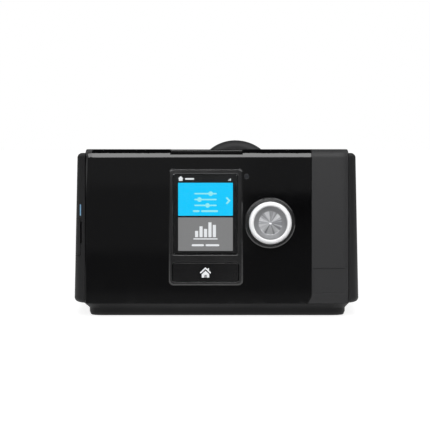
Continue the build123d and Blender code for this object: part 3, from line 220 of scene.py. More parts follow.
tree, size = new_tree("cross_head_screws", ("Head radius", "Head height", "Shank radius", "Shank length",
                                            "Cross length", "Cross width", "Cross depth"))
head = add(tree, "GeometryNodeMeshCylinder", {"Vertices": 32, "Radius": size["Head radius"],
                                              "Depth": size["Head height"]}, fill_type="NGON")
arms = []
for along, across in (("Cross length", "Cross width"), ("Cross width", "Cross length")):
    span = add(tree, "ShaderNodeCombineXYZ", {0: size[along], 1: size[across], 2: size["Cross depth"]})
    arms.append(add(tree, "GeometryNodeMeshCube", {"Size": span.outputs[0]}))
cross = add(tree, "GeometryNodeJoinGeometry", {0: arms[0].outputs[0]})
tree.links.new(arms[1].outputs[0], cross.inputs[0])
half_head = add(tree, "ShaderNodeMath", {0: size["Head height"], 1: -0.5}, operation="MULTIPLY")
at_face = add(tree, "ShaderNodeCombineXYZ", {2: half_head.outputs[0]})
sunk_cross = add(tree, "GeometryNodeTransform", {0: cross.outputs[0], "Translation": at_face.outputs[0]})
cut_head = add(tree, "GeometryNodeMeshBoolean", {0: head.outputs[0]}, operation="DIFFERENCE", solver="EXACT")
tree.links.new(sunk_cross.outputs[0], cut_head.inputs[1])
shank = add(tree, "GeometryNodeMeshCylinder", {"Vertices": 20, "Radius": size["Shank radius"],
                                               "Depth": size["Shank length"]}, fill_type="NGON")
half_shank = add(tree, "ShaderNodeMath", {0: size["Shank length"], 1: 0.5}, operation="MULTIPLY")
above = add(tree, "ShaderNodeCombineXYZ", {2: half_shank.outputs[0]})
raised_shank = add(tree, "GeometryNodeTransform", {0: shank.outputs[0], "Translation": above.outputs[0]})
screw = add(tree, "GeometryNodeJoinGeometry", {0: cut_head.outputs[0]})
tree.links.new(raised_shank.outputs[0], screw.inputs[0])
placed = add(tree, "GeometryNodeInstanceOnPoints", {"Points": size["Geometry"], "Instance": screw.outputs[0]})
solid = add(tree, "GeometryNodeRealizeInstances", {0: placed.outputs[0]})
coated = add(tree, "GeometryNodeSetMaterial", {0: solid.outputs[0], "Material": screw_steel})
add(tree, "NodeGroupOutput", {0: coated.outputs[0]})

screw_low, screw_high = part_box("base_screws")
screw_z = screw_low.z / MM + screw_head_height / 2
base_screw_heads = grow(
    "base_screw_heads", [(x, y, screw_z) for x, y in screw_places], tree,
    {"Head radius": screw_head_radius, "Head height": screw_head_height, "Shank radius": screw_shank_radius,
     "Shank length": (screw_high.z - screw_low.z) / MM - screw_head_height, "Cross length": cross_length,
     "Cross width": cross_width, "Cross depth": 2 * cross_depth},
    screw_steel, "housing")
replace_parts(base_screw_heads, "base_screws")

# ---------------------------------------------------------------- heater plate and its pads
# Milled aluminium plate with a hard-anodised top, on four grey silicone columns that let it give
# under the tub. Fine parallel mill marks run along it.
heater_metal, tree, shader, place = material("anodised_aluminium_plate", {"Metallic": 1.0, "Roughness": 0.38})
stretch = add(tree, "ShaderNodeMapping", {"Vector": place, "Scale": (0.04, 1.0, 1.0)})
marks = add(tree, "ShaderNodeTexNoise", {"Vector": stretch.outputs[0], "Scale": 1 / (0.35 * MM),
                                         "Detail": 5.0})
burnished(tree, shader, "#a4a6a8", "#d2d3d4", 0.2, marks.outputs[0], 0.01, marks.outputs[0], 0.12)
dress(heater_metal, "heater_plate")

# Silicone rubber lets a little light in below its skin, which softens its shadows.
pad_silicone = moulded("silicone_rubber_grey", "#8b8d90", "#a6a8aa", 0.6, grain=0.8, depth=0.02)
silicone_shader = pad_silicone.node_tree.nodes["Principled BSDF"]
silicone_shader.inputs["Subsurface Weight"].default_value = 0.15
silicone_shader.inputs["Subsurface Scale"].default_value = 2 * MM
dress(pad_silicone, "heater_pads", "blower_isolators", "blower_sleeve", "port_cuffs", "tub_seal")

# ---------------------------------------------------------------- circuit boards and their parts
# Glass-fibre boards under green solder mask, with metal housings and black plastic switches. The mask shows
# the weave of the glass cloth faintly, and it is drawn about four times as coarse as the real 0.7 mm.
board_mask, tree, shader, place = material("solder_mask_board", {"Roughness": 0.32,
                                                                 "Specular IOR Level": 0.5})
weave = add(tree, "ShaderNodeTexWave", {"Vector": place, "Scale": 1 / (9 * MM), "Distortion": 1.5},
            bands_direction="Z")
burnished(tree, shader, "#12492b", "#3b7a55", 0.1, weave.outputs[1], 0.01, weave.outputs[1], 0.15)
dress(board_mask, "main_circuit_board", "display_circuit_board")

inner_pbt = moulded("glass_filled_pbt", "#1d1d20", "#3a3a3e", 0.6, grain=0.7)
dress(inner_pbt, "button_switches", "encoder_plunger", "adapter_connector", "blower_lower_scroll",
      "blower_upper_scroll", "impeller", "memory_card", "power_inlet", "outlet_duct")
dress(screw_steel, "dial_encoder", "card_socket", "blower_motor")

# ---------------------------------------------------------------- blower silencer and air filter
# A block of open-cell polyurethane foam over the blower's intake, and a white polyester felt pad that cleans
# the air at the rear. Both are soft, so their faces belly out and their edges are rounded. The felt's fibres
# are drawn at 0.3 mm, thicker than real ones, so that they show.
foam_pu, tree, shader, place = material("open_cell_foam", {"Roughness": 0.95, "Sheen Weight": 0.2})
cells = add(tree, "ShaderNodeTexVoronoi", {"Vector": place, "Scale": 1 / (1.1 * MM)}).outputs["Distance"]
burnished(tree, shader, "#3a3a3c", "#5a5a5c", 0.3, cells, 0.5, cells, 0.3)

filter_felt, tree, shader, place = material("polyester_felt", {"Roughness": 0.93, "Sheen Weight": 0.4})
fibre_run = add(tree, "ShaderNodeMapping", {"Vector": place, "Scale": (0.25, 1.0, 1.0),
                                            "Rotation": (0, 0.6, 0)})
fibres = add(tree, "ShaderNodeTexNoise", {"Vector": fibre_run.outputs[0], "Scale": 1 / (0.3 * MM),
                                          "Detail": 6.0})
burnished(tree, shader, "#dcdeda", "#efefec", 0.3, fibres.outputs[0], 0.12, fibres.outputs[0], 0.1)


def soft_block(name, corners, cells_across, belly, tooth, finish, body):
    """A soft pad in the box between two corners: bellied faces, rounded edges and a slightly uneven skin."""
    rim_from, rim_draw, lump_width = 0.82, 0.05, 4
    low, high = corners
    middle, half = (low + high) / 2, (high - low) / 2
    shape = bmesh.new()
    bmesh.ops.create_cube(shape, size=2)
    bmesh.ops.subdivide_edges(shape, edges=shape.edges, cuts=cells_across, use_grid_fill=True)
    for vert in shape.verts:
        u = vert.co.copy()
        rim = max(sorted(abs(c) for c in u)[1] - rim_from, 0) / (1 - rim_from)
        shrink = 1 - (belly + rim_draw * rim * rim)
        swell = belly * (1 - u.x * u.x) * (1 - u.z * u.z)
        settled = Vector((u.x * shrink * half.x, u.y * (shrink + swell) * half.y, u.z * shrink * half.z))
        settled *= 1 - tooth * (0.5 + 0.5 * noise(settled / (lump_width * MM)))
        vert.co = middle + settled
    for face in shape.faces:
        face.smooth = True
    mesh = bpy.data.meshes.new(name)
    shape.to_mesh(mesh)
    shape.free()
    return put(name, mesh, finish, body)


silencer = soft_block("silencer_foam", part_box("muffler_foam"), 14, 0.03, 0.02, foam_pu, "housing")
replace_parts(silencer, "muffler_foam")
filter_pad = soft_block("filter_felt_pad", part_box("air_filter"), 26, 0.04, 0.01, filter_felt, "housing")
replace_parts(filter_pad, "air_filter")

# ---------------------------------------------------------------- humidifier bay and water tub
# The bay is a dark liner. The tub's base and lid are clear polycarbonate, moulded bright, round a stainless
# bottom plate, and its outer end is the machine's right end cap.
bay_abs = moulded("abs_bay_liner", "#202023", "#3f3f43", 0.5)
dress(bay_abs, "humidifier_bay")

clear_pc, tree, shader, place = material("clear_polycarbonate", {
    "Base Color": linear("#e8f1f6"), "Transmission Weight": 1.0, "IOR": 1.585})
haze = add(tree, "ShaderNodeTexNoise", {"Vector": place, "Scale": 1 / (18 * MM), "Detail": 3.0})
hazed = add(tree, "ShaderNodeMapRange", {"Value": haze.outputs[0], "To Min": 0.03, "To Max": 0.12})
ripple = add(tree, "ShaderNodeBump", {"Height": haze.outputs[0], "Distance": 0.05 * MM})
tree.links.new(hazed.outputs[0], shader.inputs["Roughness"])
tree.links.new(ripple.outputs[0], shader.inputs["Normal"])
dress(clear_pc, "tub_base", "tub_lid")
dress(heater_metal, "tub_metal_plate")

# ---------------------------------------------------------------- housing, end caps, covers and latches
# The shell seen from the sides, top and rear: black ABS in the tool's fine grain. The covers, the card
# door, the latches and the plug clip come from the same material.
shell_abs = moulded("abs_spark_eroded_shell", "#161617", "#262628", 0.55, specular=0.25)
dress(shell_abs, "rear_housing", "left_side_cap", "card_door", "adapter_cover", "filter_cover",
      "retention_clip", "tub_end_cap", "upper_latch", "lower_latch")

# ---------------------------------------------------------------- outlet hood, port and contacts
# The hood is a drum in the shell's material, a shade lighter. The tube that takes the hose is smooth
# black polypropylene, and the three spring contacts below it are gold-plated bronze.
hood_abs = moulded("abs_spark_eroded_hood", "#222223", "#2e2e30", 0.6, specular=0.25)
dress(hood_abs, "outlet_hood")
port_pp = moulded("polypropylene_tube", "#18181a", "#3a3a3d", 0.3, grain=1.6, depth=0.008, specular=0.5)
dress(port_pp, "outlet_port")

contact_gold, tree, shader, place = material("gold_plated_bronze", {"Metallic": 1.0, "Roughness": 0.24})
plating = add(tree, "ShaderNodeTexNoise", {"Vector": place, "Scale": 1 / (0.6 * MM), "Detail": 4.0})
burnished(tree, shader, "#d8b36a", "#efd9a0", 0.1, plating.outputs[0], 0.004, plating.outputs[0], 0.08)
dress(contact_gold, "outlet_contacts", "power_contacts")

# ---------------------------------------------------------------- front fascia
# Piano-black acrylic-capped ABS, polished in the tool: a deep black with clear reflections, the faintest
# orange peel, and finger marks and hairlines that only change the gloss. The panel beside it is matte ABS in
# the tool's fine grain, a little lighter than the shell.
fascia_gloss, tree, shader, place = material("polished_black_fascia", {
    "Base Color": linear("#050506"), "IOR": 1.49})
peel = add(tree, "ShaderNodeTexNoise", {"Vector": place, "Scale": 1 / (9 * MM), "Detail": 2.0})
smears = add(tree, "ShaderNodeTexNoise", {"Vector": place, "Scale": 1 / (22 * MM), "Detail": 6.0,
                                          "Distortion": 1.2})
hairlines = add(tree, "ShaderNodeTexNoise", {"Vector": place, "Scale": 1 / (0.9 * MM), "Detail": 8.0})
smeared = add(tree, "ShaderNodeMapRange", {"Value": smears.outputs[0], "From Min": 0.45, "From Max": 0.75,
                                           "To Min": 0.035, "To Max": 0.08})
gloss = add(tree, "ShaderNodeMapRange", {"Value": hairlines.outputs[0], "From Min": 0.35, "From Max": 0.75,
                                         "To Min": 0.0, "To Max": 0.03})
both = add(tree, "ShaderNodeMath", {0: smeared.outputs[0], 1: gloss.outputs[0]}, operation="ADD")
soft_edge = add(tree, "ShaderNodeBevel", {"Radius": 0.2 * MM}, samples=6)
wave = add(tree, "ShaderNodeBump", {"Height": peel.outputs[0], "Distance": 0.008 * MM,
                                    "Normal": soft_edge.outputs[0]})
tree.links.new(both.outputs[0], shader.inputs["Roughness"])
tree.links.new(wave.outputs[0], shader.inputs["Normal"])
dress(fascia_gloss, "front_fascia")

panel_abs = moulded("abs_spark_eroded_panel", "#242425", "#303032", 0.58, specular=0.25)
dress(panel_abs, "front_side_panel")

# ---------------------------------------------------------------- display
# The bezel is satin black ABS. The window is a hard-coated acrylic plate printed black on its back round
# the picture, and under it the colour display shows a plain two-tile menu with common symbols.
bezel_abs = moulded("satin_abs_bezel", "#111112", "#343436", 0.18, grain=0.5, depth=0.008, specular=0.8)
dress(bezel_abs, "display_bezel", "dial_surround")

# The front face leans back by 4 degrees from its lower edge. Places on it are (x, height up the face), in mm.
lean = radians(4)
face_y, face_z = -72.2, 11.8
face = Matrix(((1, 0, 0, 0), (0, sin(lean), -cos(lean), face_y * MM), (0, cos(lean), sin(lean), face_z * MM),
               (0, 0, 0, 1)))
bezel_proud, window_drop = 1.4, 0.8
window_x, window_v, window_width, window_height = -7.85, 61.0, 44.9, 56.1
window_top = bezel_proud - window_drop
glass_thick, glass_edge = 1.6, 0.7
picture_left, picture_right, picture_low, picture_high = -26.8, 11.4, 35.4, 87.7


def rounded(x, y, width, height, radius, steps=6):
    """Outline of a rectangle with round corners, about (x, y), in mm."""
    points = []
    for corner in range(4):
        cx = x + (width / 2 - radius) * (1, -1, -1, 1)[corner]
        cy = y + (height / 2 - radius) * (1, 1, -1, -1)[corner]
        for step in range(steps + 1):
            angle = (corner + step / steps) * pi / 2
            points.append((cx + radius * cos(angle), cy + radius * sin(angle)))
    return points


def plates(name, outlines, low, high, finish, body, edge=0.0):
    """Flat plates standing on the leaning face between two heights above it, all sizes in mm."""
    shape = bmesh.new()
    rims = []
    for outline in outlines:
        below = [shape.verts.new((x * MM, y * MM, low * MM)) for x, y in outline]
        above = [shape.verts.new((x * MM, y * MM, high * MM)) for x, y in outline]
        shape.faces.new(below[::-1])
        rims += shape.faces.new(above).edges
        for i, vert in enumerate(below):
            after = (i + 1) % len(below)
            shape.faces.new((vert, below[after], above[after], above[i]))
    if edge:
        bmesh.ops.bevel(shape, geom=rims, offset=edge * MM, segments=3, profile=0.5, affect="EDGES")
    bmesh.ops.triangulate(shape, faces=[f for f in shape.faces if len(f.verts) > 4])
    bmesh.ops.recalc_face_normals(shape, faces=shape.faces)
    shape.transform(face)
    mesh = bpy.data.meshes.new(name)
    shape.to_mesh(mesh)
    shape.free()
    return put(name, mesh, finish, body)


window_acrylic, tree, shader, place = material("hard_coated_acrylic", {
    "Base Color": linear("#f2f4f6"), "Transmission Weight": 1.0, "IOR": 1.49, "Specular IOR Level": 0.25})
wipes = add(tree, "ShaderNodeTexNoise", {"Vector": place, "Scale": 1 / (14 * MM), "Detail": 6.0,
                                         "Distortion": 2.0})
wiped = add(tree, "ShaderNodeMapRange", {"Value": wipes.outputs[0], "From Min": 0.5, "From Max": 0.8,
                                         "To Min": 0.0, "To Max": 0.06})
tree.links.new(wiped.outputs[0], shader.inputs["Roughness"])
window_round = 1.1
pane = rounded(window_x, window_v, window_width, window_height, window_round)
window = plates("display_window_plate", [pane], window_top - glass_thick, window_top, window_acrylic,
                "housing", edge=glass_edge)
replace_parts(window, "display_window")

back_print, tree, shader, place = material("black_back_print", {"Roughness": 0.35, "Specular IOR Level": 0.1})
speck = add(tree, "ShaderNodeTexNoise", {"Vector": place, "Scale": 1 / (0.3 * MM), "Detail": 2.0})
burnished(tree, shader, "#030304", "#0a0a0b", 0.05, speck.outputs[0], 0.002, speck.outputs[0], 0.3)


def frame_of_print(name, outer, inner, low, high):
    """A flat frame between two outlines of as many points."""
    shape = bmesh.new()
    rings = [[shape.verts.new((x * MM, y * MM, z * MM)) for x, y in outline]
             for outline, z in ((outer, high), (inner, high), (inner, low), (outer, low))]
    count = len(outer)
    for ring, following in zip(rings, rings[1:] + rings[:1]):
        for i in range(count):
            after = (i + 1) % count
            shape.faces.new((ring[i], ring[after], following[after], following[i]))
    bmesh.ops.recalc_face_normals(shape, faces=shape.faces)
    shape.transform(face)
    mesh = bpy.data.meshes.new(name)
    shape.to_mesh(mesh)
    shape.free()
    return put(name, mesh, back_print, "housing")


# The print is modelled as a thin frame inside the plate, just above its back.
print_depth, print_height, print_margin, picture_round = 1.34, 0.12, 0.1, 0.3
print_top = window_top - print_depth
picture_x, picture_v = (picture_left + picture_right) / 2, (picture_low + picture_high) / 2
picture_width, picture_height = picture_right - picture_left, picture_high - picture_low
frame_of_print("window_print",
               rounded(window_x, window_v, window_width - print_margin, window_height - print_margin,
                       window_round),
               rounded(picture_x, picture_v, picture_width, picture_height, picture_round),
               print_top - print_height, print_top)


def lit(name, colour, strength=1.0):
    """A lit layer of the display: its light comes through a grid of square dots.

    The dots are drawn 0.24 mm wide, about twice the real ones, so that they show."""
    dot_width, gap_share, gap_tone = 0.24, 0.08, [c * 0.8 for c in linear(colour)]
    made, tree, shader, place = material(name, {"Base Color": linear("#030303"), "Roughness": 0.4,
                                                "Specular IOR Level": 0.1, "Emission Strength": strength})
    upright = add(tree, "ShaderNodeMapping", {"Vector": place, "Rotation": (pi / 2, 0, 0)})
    grid = add(tree, "ShaderNodeTexBrick", {"Vector": upright.outputs[0], "Scale": 1 / (dot_width * MM),
                                            "Mortar Size": gap_share, "Brick Width": 1.0, "Row Height": 1.0,
                                            "Color1": linear(colour), "Color2": linear(colour),
                                            "Mortar": gap_tone}, offset=0.0)
    tree.links.new(grid.outputs[0], shader.inputs["Emission Color"])
    return made


panel_off = lit("display_dark_cells", "#030405")
tile_blue = lit("display_blue_cells", "#00caff", 1.12)
tile_grey = lit("display_grey_cells", "#878787")
mark_pale = lit("display_pale_cells", "#9cf8ff")
mark_white = lit("display_white_cells", "#f4f6f8")
dress(panel_off, "lcd_module")

lcd_top = window_top - glass_thick
tile_foot, tile_top = lcd_top + 0.005, lcd_top + 0.03
mark_foot, mark_top = lcd_top + 0.01, lcd_top + 0.05
blue_low, blue_high, grey_high, tile_round = 60.0, 83.0, 58.8, 0.2
for name, low, high, finish in (("tile_settings", blue_low, blue_high, tile_blue),
                                ("tile_report", picture_low, grey_high, tile_grey)):
    plates(name, [rounded(picture_x, (low + high) / 2, picture_width, high - low, tile_round)],
           tile_foot, tile_top, finish, "housing")


def bar(x, y, width, height):
    """Outline of a bar with round ends, about (x, y)."""
    return rounded(x, y, width, height, min(width, height) / 2 - 0.001, 4)


def caption(x, y, lengths, thick, gap):
    """A caption of plain bars in a row, about (x, y)."""
    left = x - (sum(lengths) + gap * (len(lengths) - 1)) / 2
    shapes = []
    for length in lengths:
        shapes.append(bar(left + length / 2, y, length, thick))
        left += length + gap
    return shapes


# The blue tile: three sliders, each with its height and its knob's place, a caption and a chevron.
slider_length, slider_thick, knob_size = 15.6, 1.0, 3.2
slider_lines = [(75.4, 3.6), (71.3, -4.2), (67.2, 1.4)]
slider_shapes = []
for line_v, knob_x in slider_lines:
    slider_shapes.append(bar(picture_x, line_v, slider_length, slider_thick))
    slider_shapes.append(rounded(picture_x + knob_x, line_v, knob_size, knob_size, knob_size / 2 - 0.01, 5))
chevron = [(7.3, 73.1), (6.5, 72.3), (8.1, 70.5), (6.5, 68.7), (7.3, 67.9), (9.8, 70.5)]
settings_caption = caption(picture_x, 63.2, (4.6, 11.8), 1.3, 1.1)
plates("symbol_sliders", slider_shapes + [chevron[::-1]] + settings_caption, mark_foot, mark_top, mark_pale,
       "housing")

# The grey tile: a bar chart on a base line, and a caption. The header: the signal's steps, a bar and a house.
bar_heights, bar_width, bar_pitch, bar_round, chart_v = (4.4, 7.6, 5.8, 10.4, 8.6), 2.2, 3.1, 0.3, 45.0
base_length, base_thick, base_drop = 17.0, 0.8, 1.2
signal_x, signal_v, signal_width, signal_pitch = 8.3, 84.7, 0.45, 0.75
signal_height, signal_step, signal_round = 0.6, 0.5, 0.1
report_marks = [rounded(picture_x + bar_pitch * (i - 2), chart_v + height / 2, bar_width, height,
                        bar_round, 3) for i, height in enumerate(bar_heights)]
report_marks.append(bar(picture_x, chart_v - base_drop, base_length, base_thick))
report_marks += caption(picture_x, 39.4, (8.6, 9.6), 1.4, 1.1)
report_marks += [rounded(signal_x + signal_pitch * i, signal_v + signal_step / 2 * i, signal_width,
                         signal_height + signal_step * i, signal_round, 2) for i in range(3)]
report_marks += caption(-18.8, 85.7, (6.4,), 1.2, 0)
header_house = [(-26.9, 85.9), (-25.0, 87.7), (-23.1, 85.9), (-23.7, 85.9), (-23.7, 84.3), (-26.3, 84.3),
                (-26.3, 85.9)]
plates("symbol_report", report_marks + [header_house[::-1]], mark_foot, mark_top, mark_white, "housing")

# ---------------------------------------------------------------- home and start buttons, light sensor
# The home button is a bar of satin black ABS with a white printed house, and the start button, let into the
# top front edge, is moulded from the same. The sensor looks out through a small lens of smoked acrylic.
button_abs = moulded("satin_abs_button", "#050506", "#202022", 0.24, grain=0.5, depth=0.006, specular=0.33)
dress(button_abs, "home_button", "start_button")

white_ink, tree, shader, place = material("white_pad_print", {"Roughness": 0.5})
ink = add(tree, "ShaderNodeTexNoise", {"Vector": place, "Scale": 1 / (0.4 * MM), "Detail": 4.0})
burnished(tree, shader, "#eceef0", "#f6f7f8", 0.05, ink.outputs[0], 0.004, ink.outputs[0], 0.04)
home_proud, print_thick, print_sunk, house_x, house_v = 1.0, 0.03, 0.02, -7.7, 18.7
house_body = [(-2.6, -1.8), (-2.6, 0.55), (0, 3.0), (2.6, 0.55), (2.6, -1.8), (0.8, -1.8), (0.8, 0.1),
              (-0.8, 0.1), (-0.8, -1.8)]
house_roof = [(-3.95, 1.65), (-3.3, 0.95), (0, 4.1), (3.3, 0.95), (3.95, 1.65), (2.5, 3.0), (2.5, 4.7),
              (1.6, 4.7), (1.6, 3.85), (0, 5.35)]
house = [[(house_x + x, house_v + y) for x, y in part] for part in (house_body, house_roof)]
plates("home_symbol", [part[::-1] for part in house], home_proud - print_sunk, home_proud + print_thick,
       white_ink, "home_button")

lens_dark, tree, shader, place = material("smoked_acrylic_lens", {"IOR": 1.49})
swirl = add(tree, "ShaderNodeTexNoise", {"Vector": place, "Scale": 1 / (1.5 * MM), "Detail": 3.0})
burnished(tree, shader, "#26272a", "#55565a", 0.15, swirl.outputs[0], 0.003, swirl.outputs[0], 0.2)
shader.inputs["Roughness"].default_value = 0.12
dress(lens_dark, "light_sensor_lens")

# ---------------------------------------------------------------- dial
# The knob is a pearl-white lacquered ring round a spun aluminium dish. The dish was turned on a lathe, so its
# fine circular grooves draw the light out into fans from the centre. They are drawn 0.3 mm apart, about three
# times the real pitch. The flat disc's colour also has light and dark fans painted into it, a painted
# reflection. The dish's flat disc is bare metal, and the wall round it is duller.
dial_x, dial_v = 37.3, 55.0
dial_middle = face @ Vector((dial_x * MM, dial_v * MM, 0))
dial_out = face.to_3x3() @ Vector((0, 0, 1))

ring_plating, tree, shader, place = material("pearl_white_lacquer", {"Roughness": 0.34})
blast = add(tree, "ShaderNodeTexNoise", {"Vector": place, "Scale": 1 / (0.25 * MM), "Detail": 3.0})
burnished(tree, shader, "#f3f3f4", "#f8f8f9", 0.15, blast.outputs[0], 0.006, blast.outputs[0], 0.03)
dress(ring_plating, "dial_ring")

disc_radius, rim_blend = 8.2, 0.25
dish_metal, tree, shader, place = material("spun_aluminium", {"Anisotropic": 0.4})
from_middle = add(tree, "ShaderNodeVectorMath", {0: place, 1: dial_middle}, operation="SUBTRACT").outputs[0]
around = add(tree, "ShaderNodeVectorMath", {0: from_middle, 1: dial_out},
             operation="CROSS_PRODUCT").outputs[0]
in_world = add(tree, "ShaderNodeVectorTransform", {0: around}, vector_type="VECTOR", convert_from="OBJECT",
               convert_to="WORLD")
radius = add(tree, "ShaderNodeVectorMath", {0: around}, operation="LENGTH").outputs["Value"]
groove_pitch, groove_depth = 0.3, 0.004
groove = add(tree, "ShaderNodeMath", {0: radius, 1: tau / (groove_pitch * MM)}, operation="MULTIPLY")
ridge = add(tree, "ShaderNodeMath", {0: groove.outputs[0]}, operation="SINE")
grooves = add(tree, "ShaderNodeBump", {"Height": ridge.outputs[0], "Distance": groove_depth * MM})
tree.links.new(grooves.outputs[0], shader.inputs["Normal"])
tree.links.new(in_world.outputs[0], shader.inputs["Tangent"])
# Painted reflection: noise that changes only round the centre gives the flat disc light and dark streaks in
# its colour, standing in for fans of reflected light.
unit = add(tree, "ShaderNodeVectorMath", {0: around}, operation="NORMALIZE")
painted_fan_noise = add(tree, "ShaderNodeTexNoise", {"Vector": unit.outputs[0], "Scale": 2.4, "Detail": 5.0,
                                        "Roughness": 0.65})
painted_fan_mask = add(tree, "ShaderNodeMapRange", {"Value": painted_fan_noise.outputs[0], "From Min": 0.4, "From Max": 0.52})
on_wall = add(tree, "ShaderNodeMapRange", {"Value": radius, "From Min": (disc_radius - rim_blend) * MM,
                                           "From Max": (disc_radius + rim_blend) * MM}).outputs[0]
disc_painted_fans = add(tree, "ShaderNodeMix", {0: painted_fan_mask.outputs[0], 6: linear("#707174"), 7: linear("#a8a9ab")},
                data_type="RGBA")
tone = add(tree, "ShaderNodeMix", {0: on_wall, 6: disc_painted_fans.outputs[2], 7: linear("#7a7b7d")},
           data_type="RGBA")
polish = add(tree, "ShaderNodeMapRange", {"Value": on_wall, "To Min": 0.46, "To Max": 0.55})
metal = add(tree, "ShaderNodeMapRange", {"Value": on_wall, "To Min": 1.0, "To Max": 0.1})
tree.links.new(tone.outputs[2], shader.inputs["Base Color"])
tree.links.new(polish.outputs[0], shader.inputs["Roughness"])
tree.links.new(metal.outputs[0], shader.inputs["Metallic"])
dress(dish_metal, "dial_dish")

# ---------------------------------------------------------------- status light
# A smoked light pipe of polycarbonate, let into the left end cap and lit blue from behind. The light comes
# out along a thin upright line and fades at both of its sides.
light_pipe, tree, shader, place = material("lit_light_pipe", {"Base Color": linear("#0b1220"),
                                                              "Roughness": 0.3})
line_x, line_half = -95.45, 0.3
across = add(tree, "ShaderNodeSeparateXYZ", {0: place}).outputs[0]
aside = add(tree, "ShaderNodeMath", {0: across, 1: -line_x * MM}, operation="ADD")
aside = add(tree, "ShaderNodeMath", {0: aside.outputs[0]}, operation="ABSOLUTE")
line = add(tree, "ShaderNodeMapRange", {"Value": aside.outputs[0], "From Min": line_half * 2 * MM,
                                        "From Max": line_half * MM, "To Min": 0.02})
glow = add(tree, "ShaderNodeTexNoise", {"Vector": place, "Scale": 1 / (3 * MM), "Detail": 2.0})
shade = add(tree, "ShaderNodeMix", {0: glow.outputs[0], 6: linear("#5a88b0"), 7: linear("#88b0c8")},
            data_type="RGBA")
tree.links.new(shade.outputs[2], shader.inputs["Emission Color"])
tree.links.new(line.outputs[0], shader.inputs["Emission Strength"])
dress(light_pipe, "status_light_pipe")

# ---------------------------------------------------------------- studio
# A plain white floor and surround, and one large soft lamp high in front. Cards that only mirror reflections
# see stand round it: dark ones keep the polished front black, and two bright ones beside the lamp carry its
# reflection on along the top edge. Sizes are in metres.
scene = bpy.context.scene
scene.view_settings.view_transform = "Standard"


def panel(name, corners, finish):
    """A flat sheet of the studio between four corners, in metres."""
    mesh = bpy.data.meshes.new(name)
    mesh.from_pydata(corners, [], [(0, 1, 2, 3)])
    mesh.materials.append(finish)
    made = bpy.data.objects.new(name, mesh)
    scene.collection.objects.link(made)


def seen_directly(tree):
    """1 for the camera and for what mirrors and glass show, 0 for the light that falls on the object."""
    ray = add(tree, "ShaderNodeLightPath").outputs
    seen = ray["Is Camera Ray"]
    for kind in ("Is Glossy Ray", "Is Transmission Ray"):
        seen = add(tree, "ShaderNodeMath", {0: seen, 1: ray[kind]}, operation="MAXIMUM").outputs[0]
    return seen


# The floor is matt paper. It is lifted to white where it is seen, and keeps the object's shadow.
floor_lift, floor_half, floor_z = 0.86, 9.0, -0.0001
floor_paint, tree, shader, place = material("matt_paper_floor", {"Roughness": 0.9, "Specular IOR Level": 0.1,
                                                                  "Emission Color": (1, 1, 1, 1)})
mottle = add(tree, "ShaderNodeTexNoise", {"Vector": place, "Scale": 1 / (60 * MM), "Detail": 3.0})
paper = add(tree, "ShaderNodeMix", {0: mottle.outputs[0], 6: linear("#9a9a9a"), 7: linear("#a0a0a0")},
            data_type="RGBA")
lift = add(tree, "ShaderNodeMath", {0: seen_directly(tree), 1: floor_lift}, operation="MULTIPLY")
tree.links.new(paper.outputs[2], shader.inputs["Base Color"])
tree.links.new(lift.outputs[0], shader.inputs["Emission Strength"])
panel("floor", [(-floor_half, -floor_half, floor_z), (floor_half, -floor_half, floor_z),
                (floor_half, floor_half, floor_z), (-floor_half, floor_half, floor_z)], floor_paint)


def velvet(name, tone):
    """A card that only mirror reflections see. tone is its grey, or a function that builds it in the tree."""
    made = bpy.data.materials.new(name)
    made.use_nodes = True
    tree = made.node_tree
    tree.nodes.clear()
    dull = add(tree, "ShaderNodeEmission", {"Strength": tone(tree) if callable(tone) else tone})
    clear = add(tree, "ShaderNodeBsdfTransparent")
    ray = add(tree, "ShaderNodeLightPath").outputs["Is Glossy Ray"]
    shown = add(tree, "ShaderNodeMixShader", {0: ray, 1: clear.outputs[0], 2: dull.outputs[0]})
    add(tree, "ShaderNodeOutputMaterial", {"Surface": shown.outputs[0]})
    return made


# The card behind the camera has soft steps of grey, (height, grey), which the polished front shows as bands.
card_y, card_half, card_foot, card_top = -0.83, 0.75, 0.001, 0.305
left_greys = [(0.0, 0.2), (0.004, 0.2), (0.012, 0.11), (0.062, 0.108), (0.072, 0.185), (0.159, 0.185),
              (0.167, 0.264)]
right_greys = [(0.0, 0.2), (0.004, 0.2), (0.012, 0.11), (0.062, 0.1), (0.095, 0.075), (0.13, 0.034),
               (0.149, 0.034), (0.155, 0.215)]
change_from, change_to = 0.03, 0.06


def front_greys(tree):
    """Greys of the card behind the camera: steps up its height, other ones to the right of its middle."""
    at = add(tree, "ShaderNodeSeparateXYZ", {0: add(tree, "ShaderNodeTexCoord").outputs["Object"]})
    height = add(tree, "ShaderNodeMath", {0: at.outputs[2], 1: card_top}, operation="DIVIDE")
    sides = []
    for greys in (left_greys, right_greys):
        ramp = add(tree, "ShaderNodeValToRGB", {0: height.outputs[0]})
        stops = ramp.color_ramp.elements
        while len(stops) < len(greys):
            stops.new(0.5)
        for stop, (z, grey) in zip(stops, greys):
            stop.position, stop.color = z / card_top, (grey, grey, grey, 1)
        sides.append(ramp.outputs[0])
    right = add(tree, "ShaderNodeMapRange", {"Value": at.outputs[0], "From Min": change_from,
                                             "From Max": change_to})
    return add(tree, "ShaderNodeMix", {0: right.outputs[0], 6: sides[0], 7: sides[1]},
               data_type="RGBA").outputs[2]


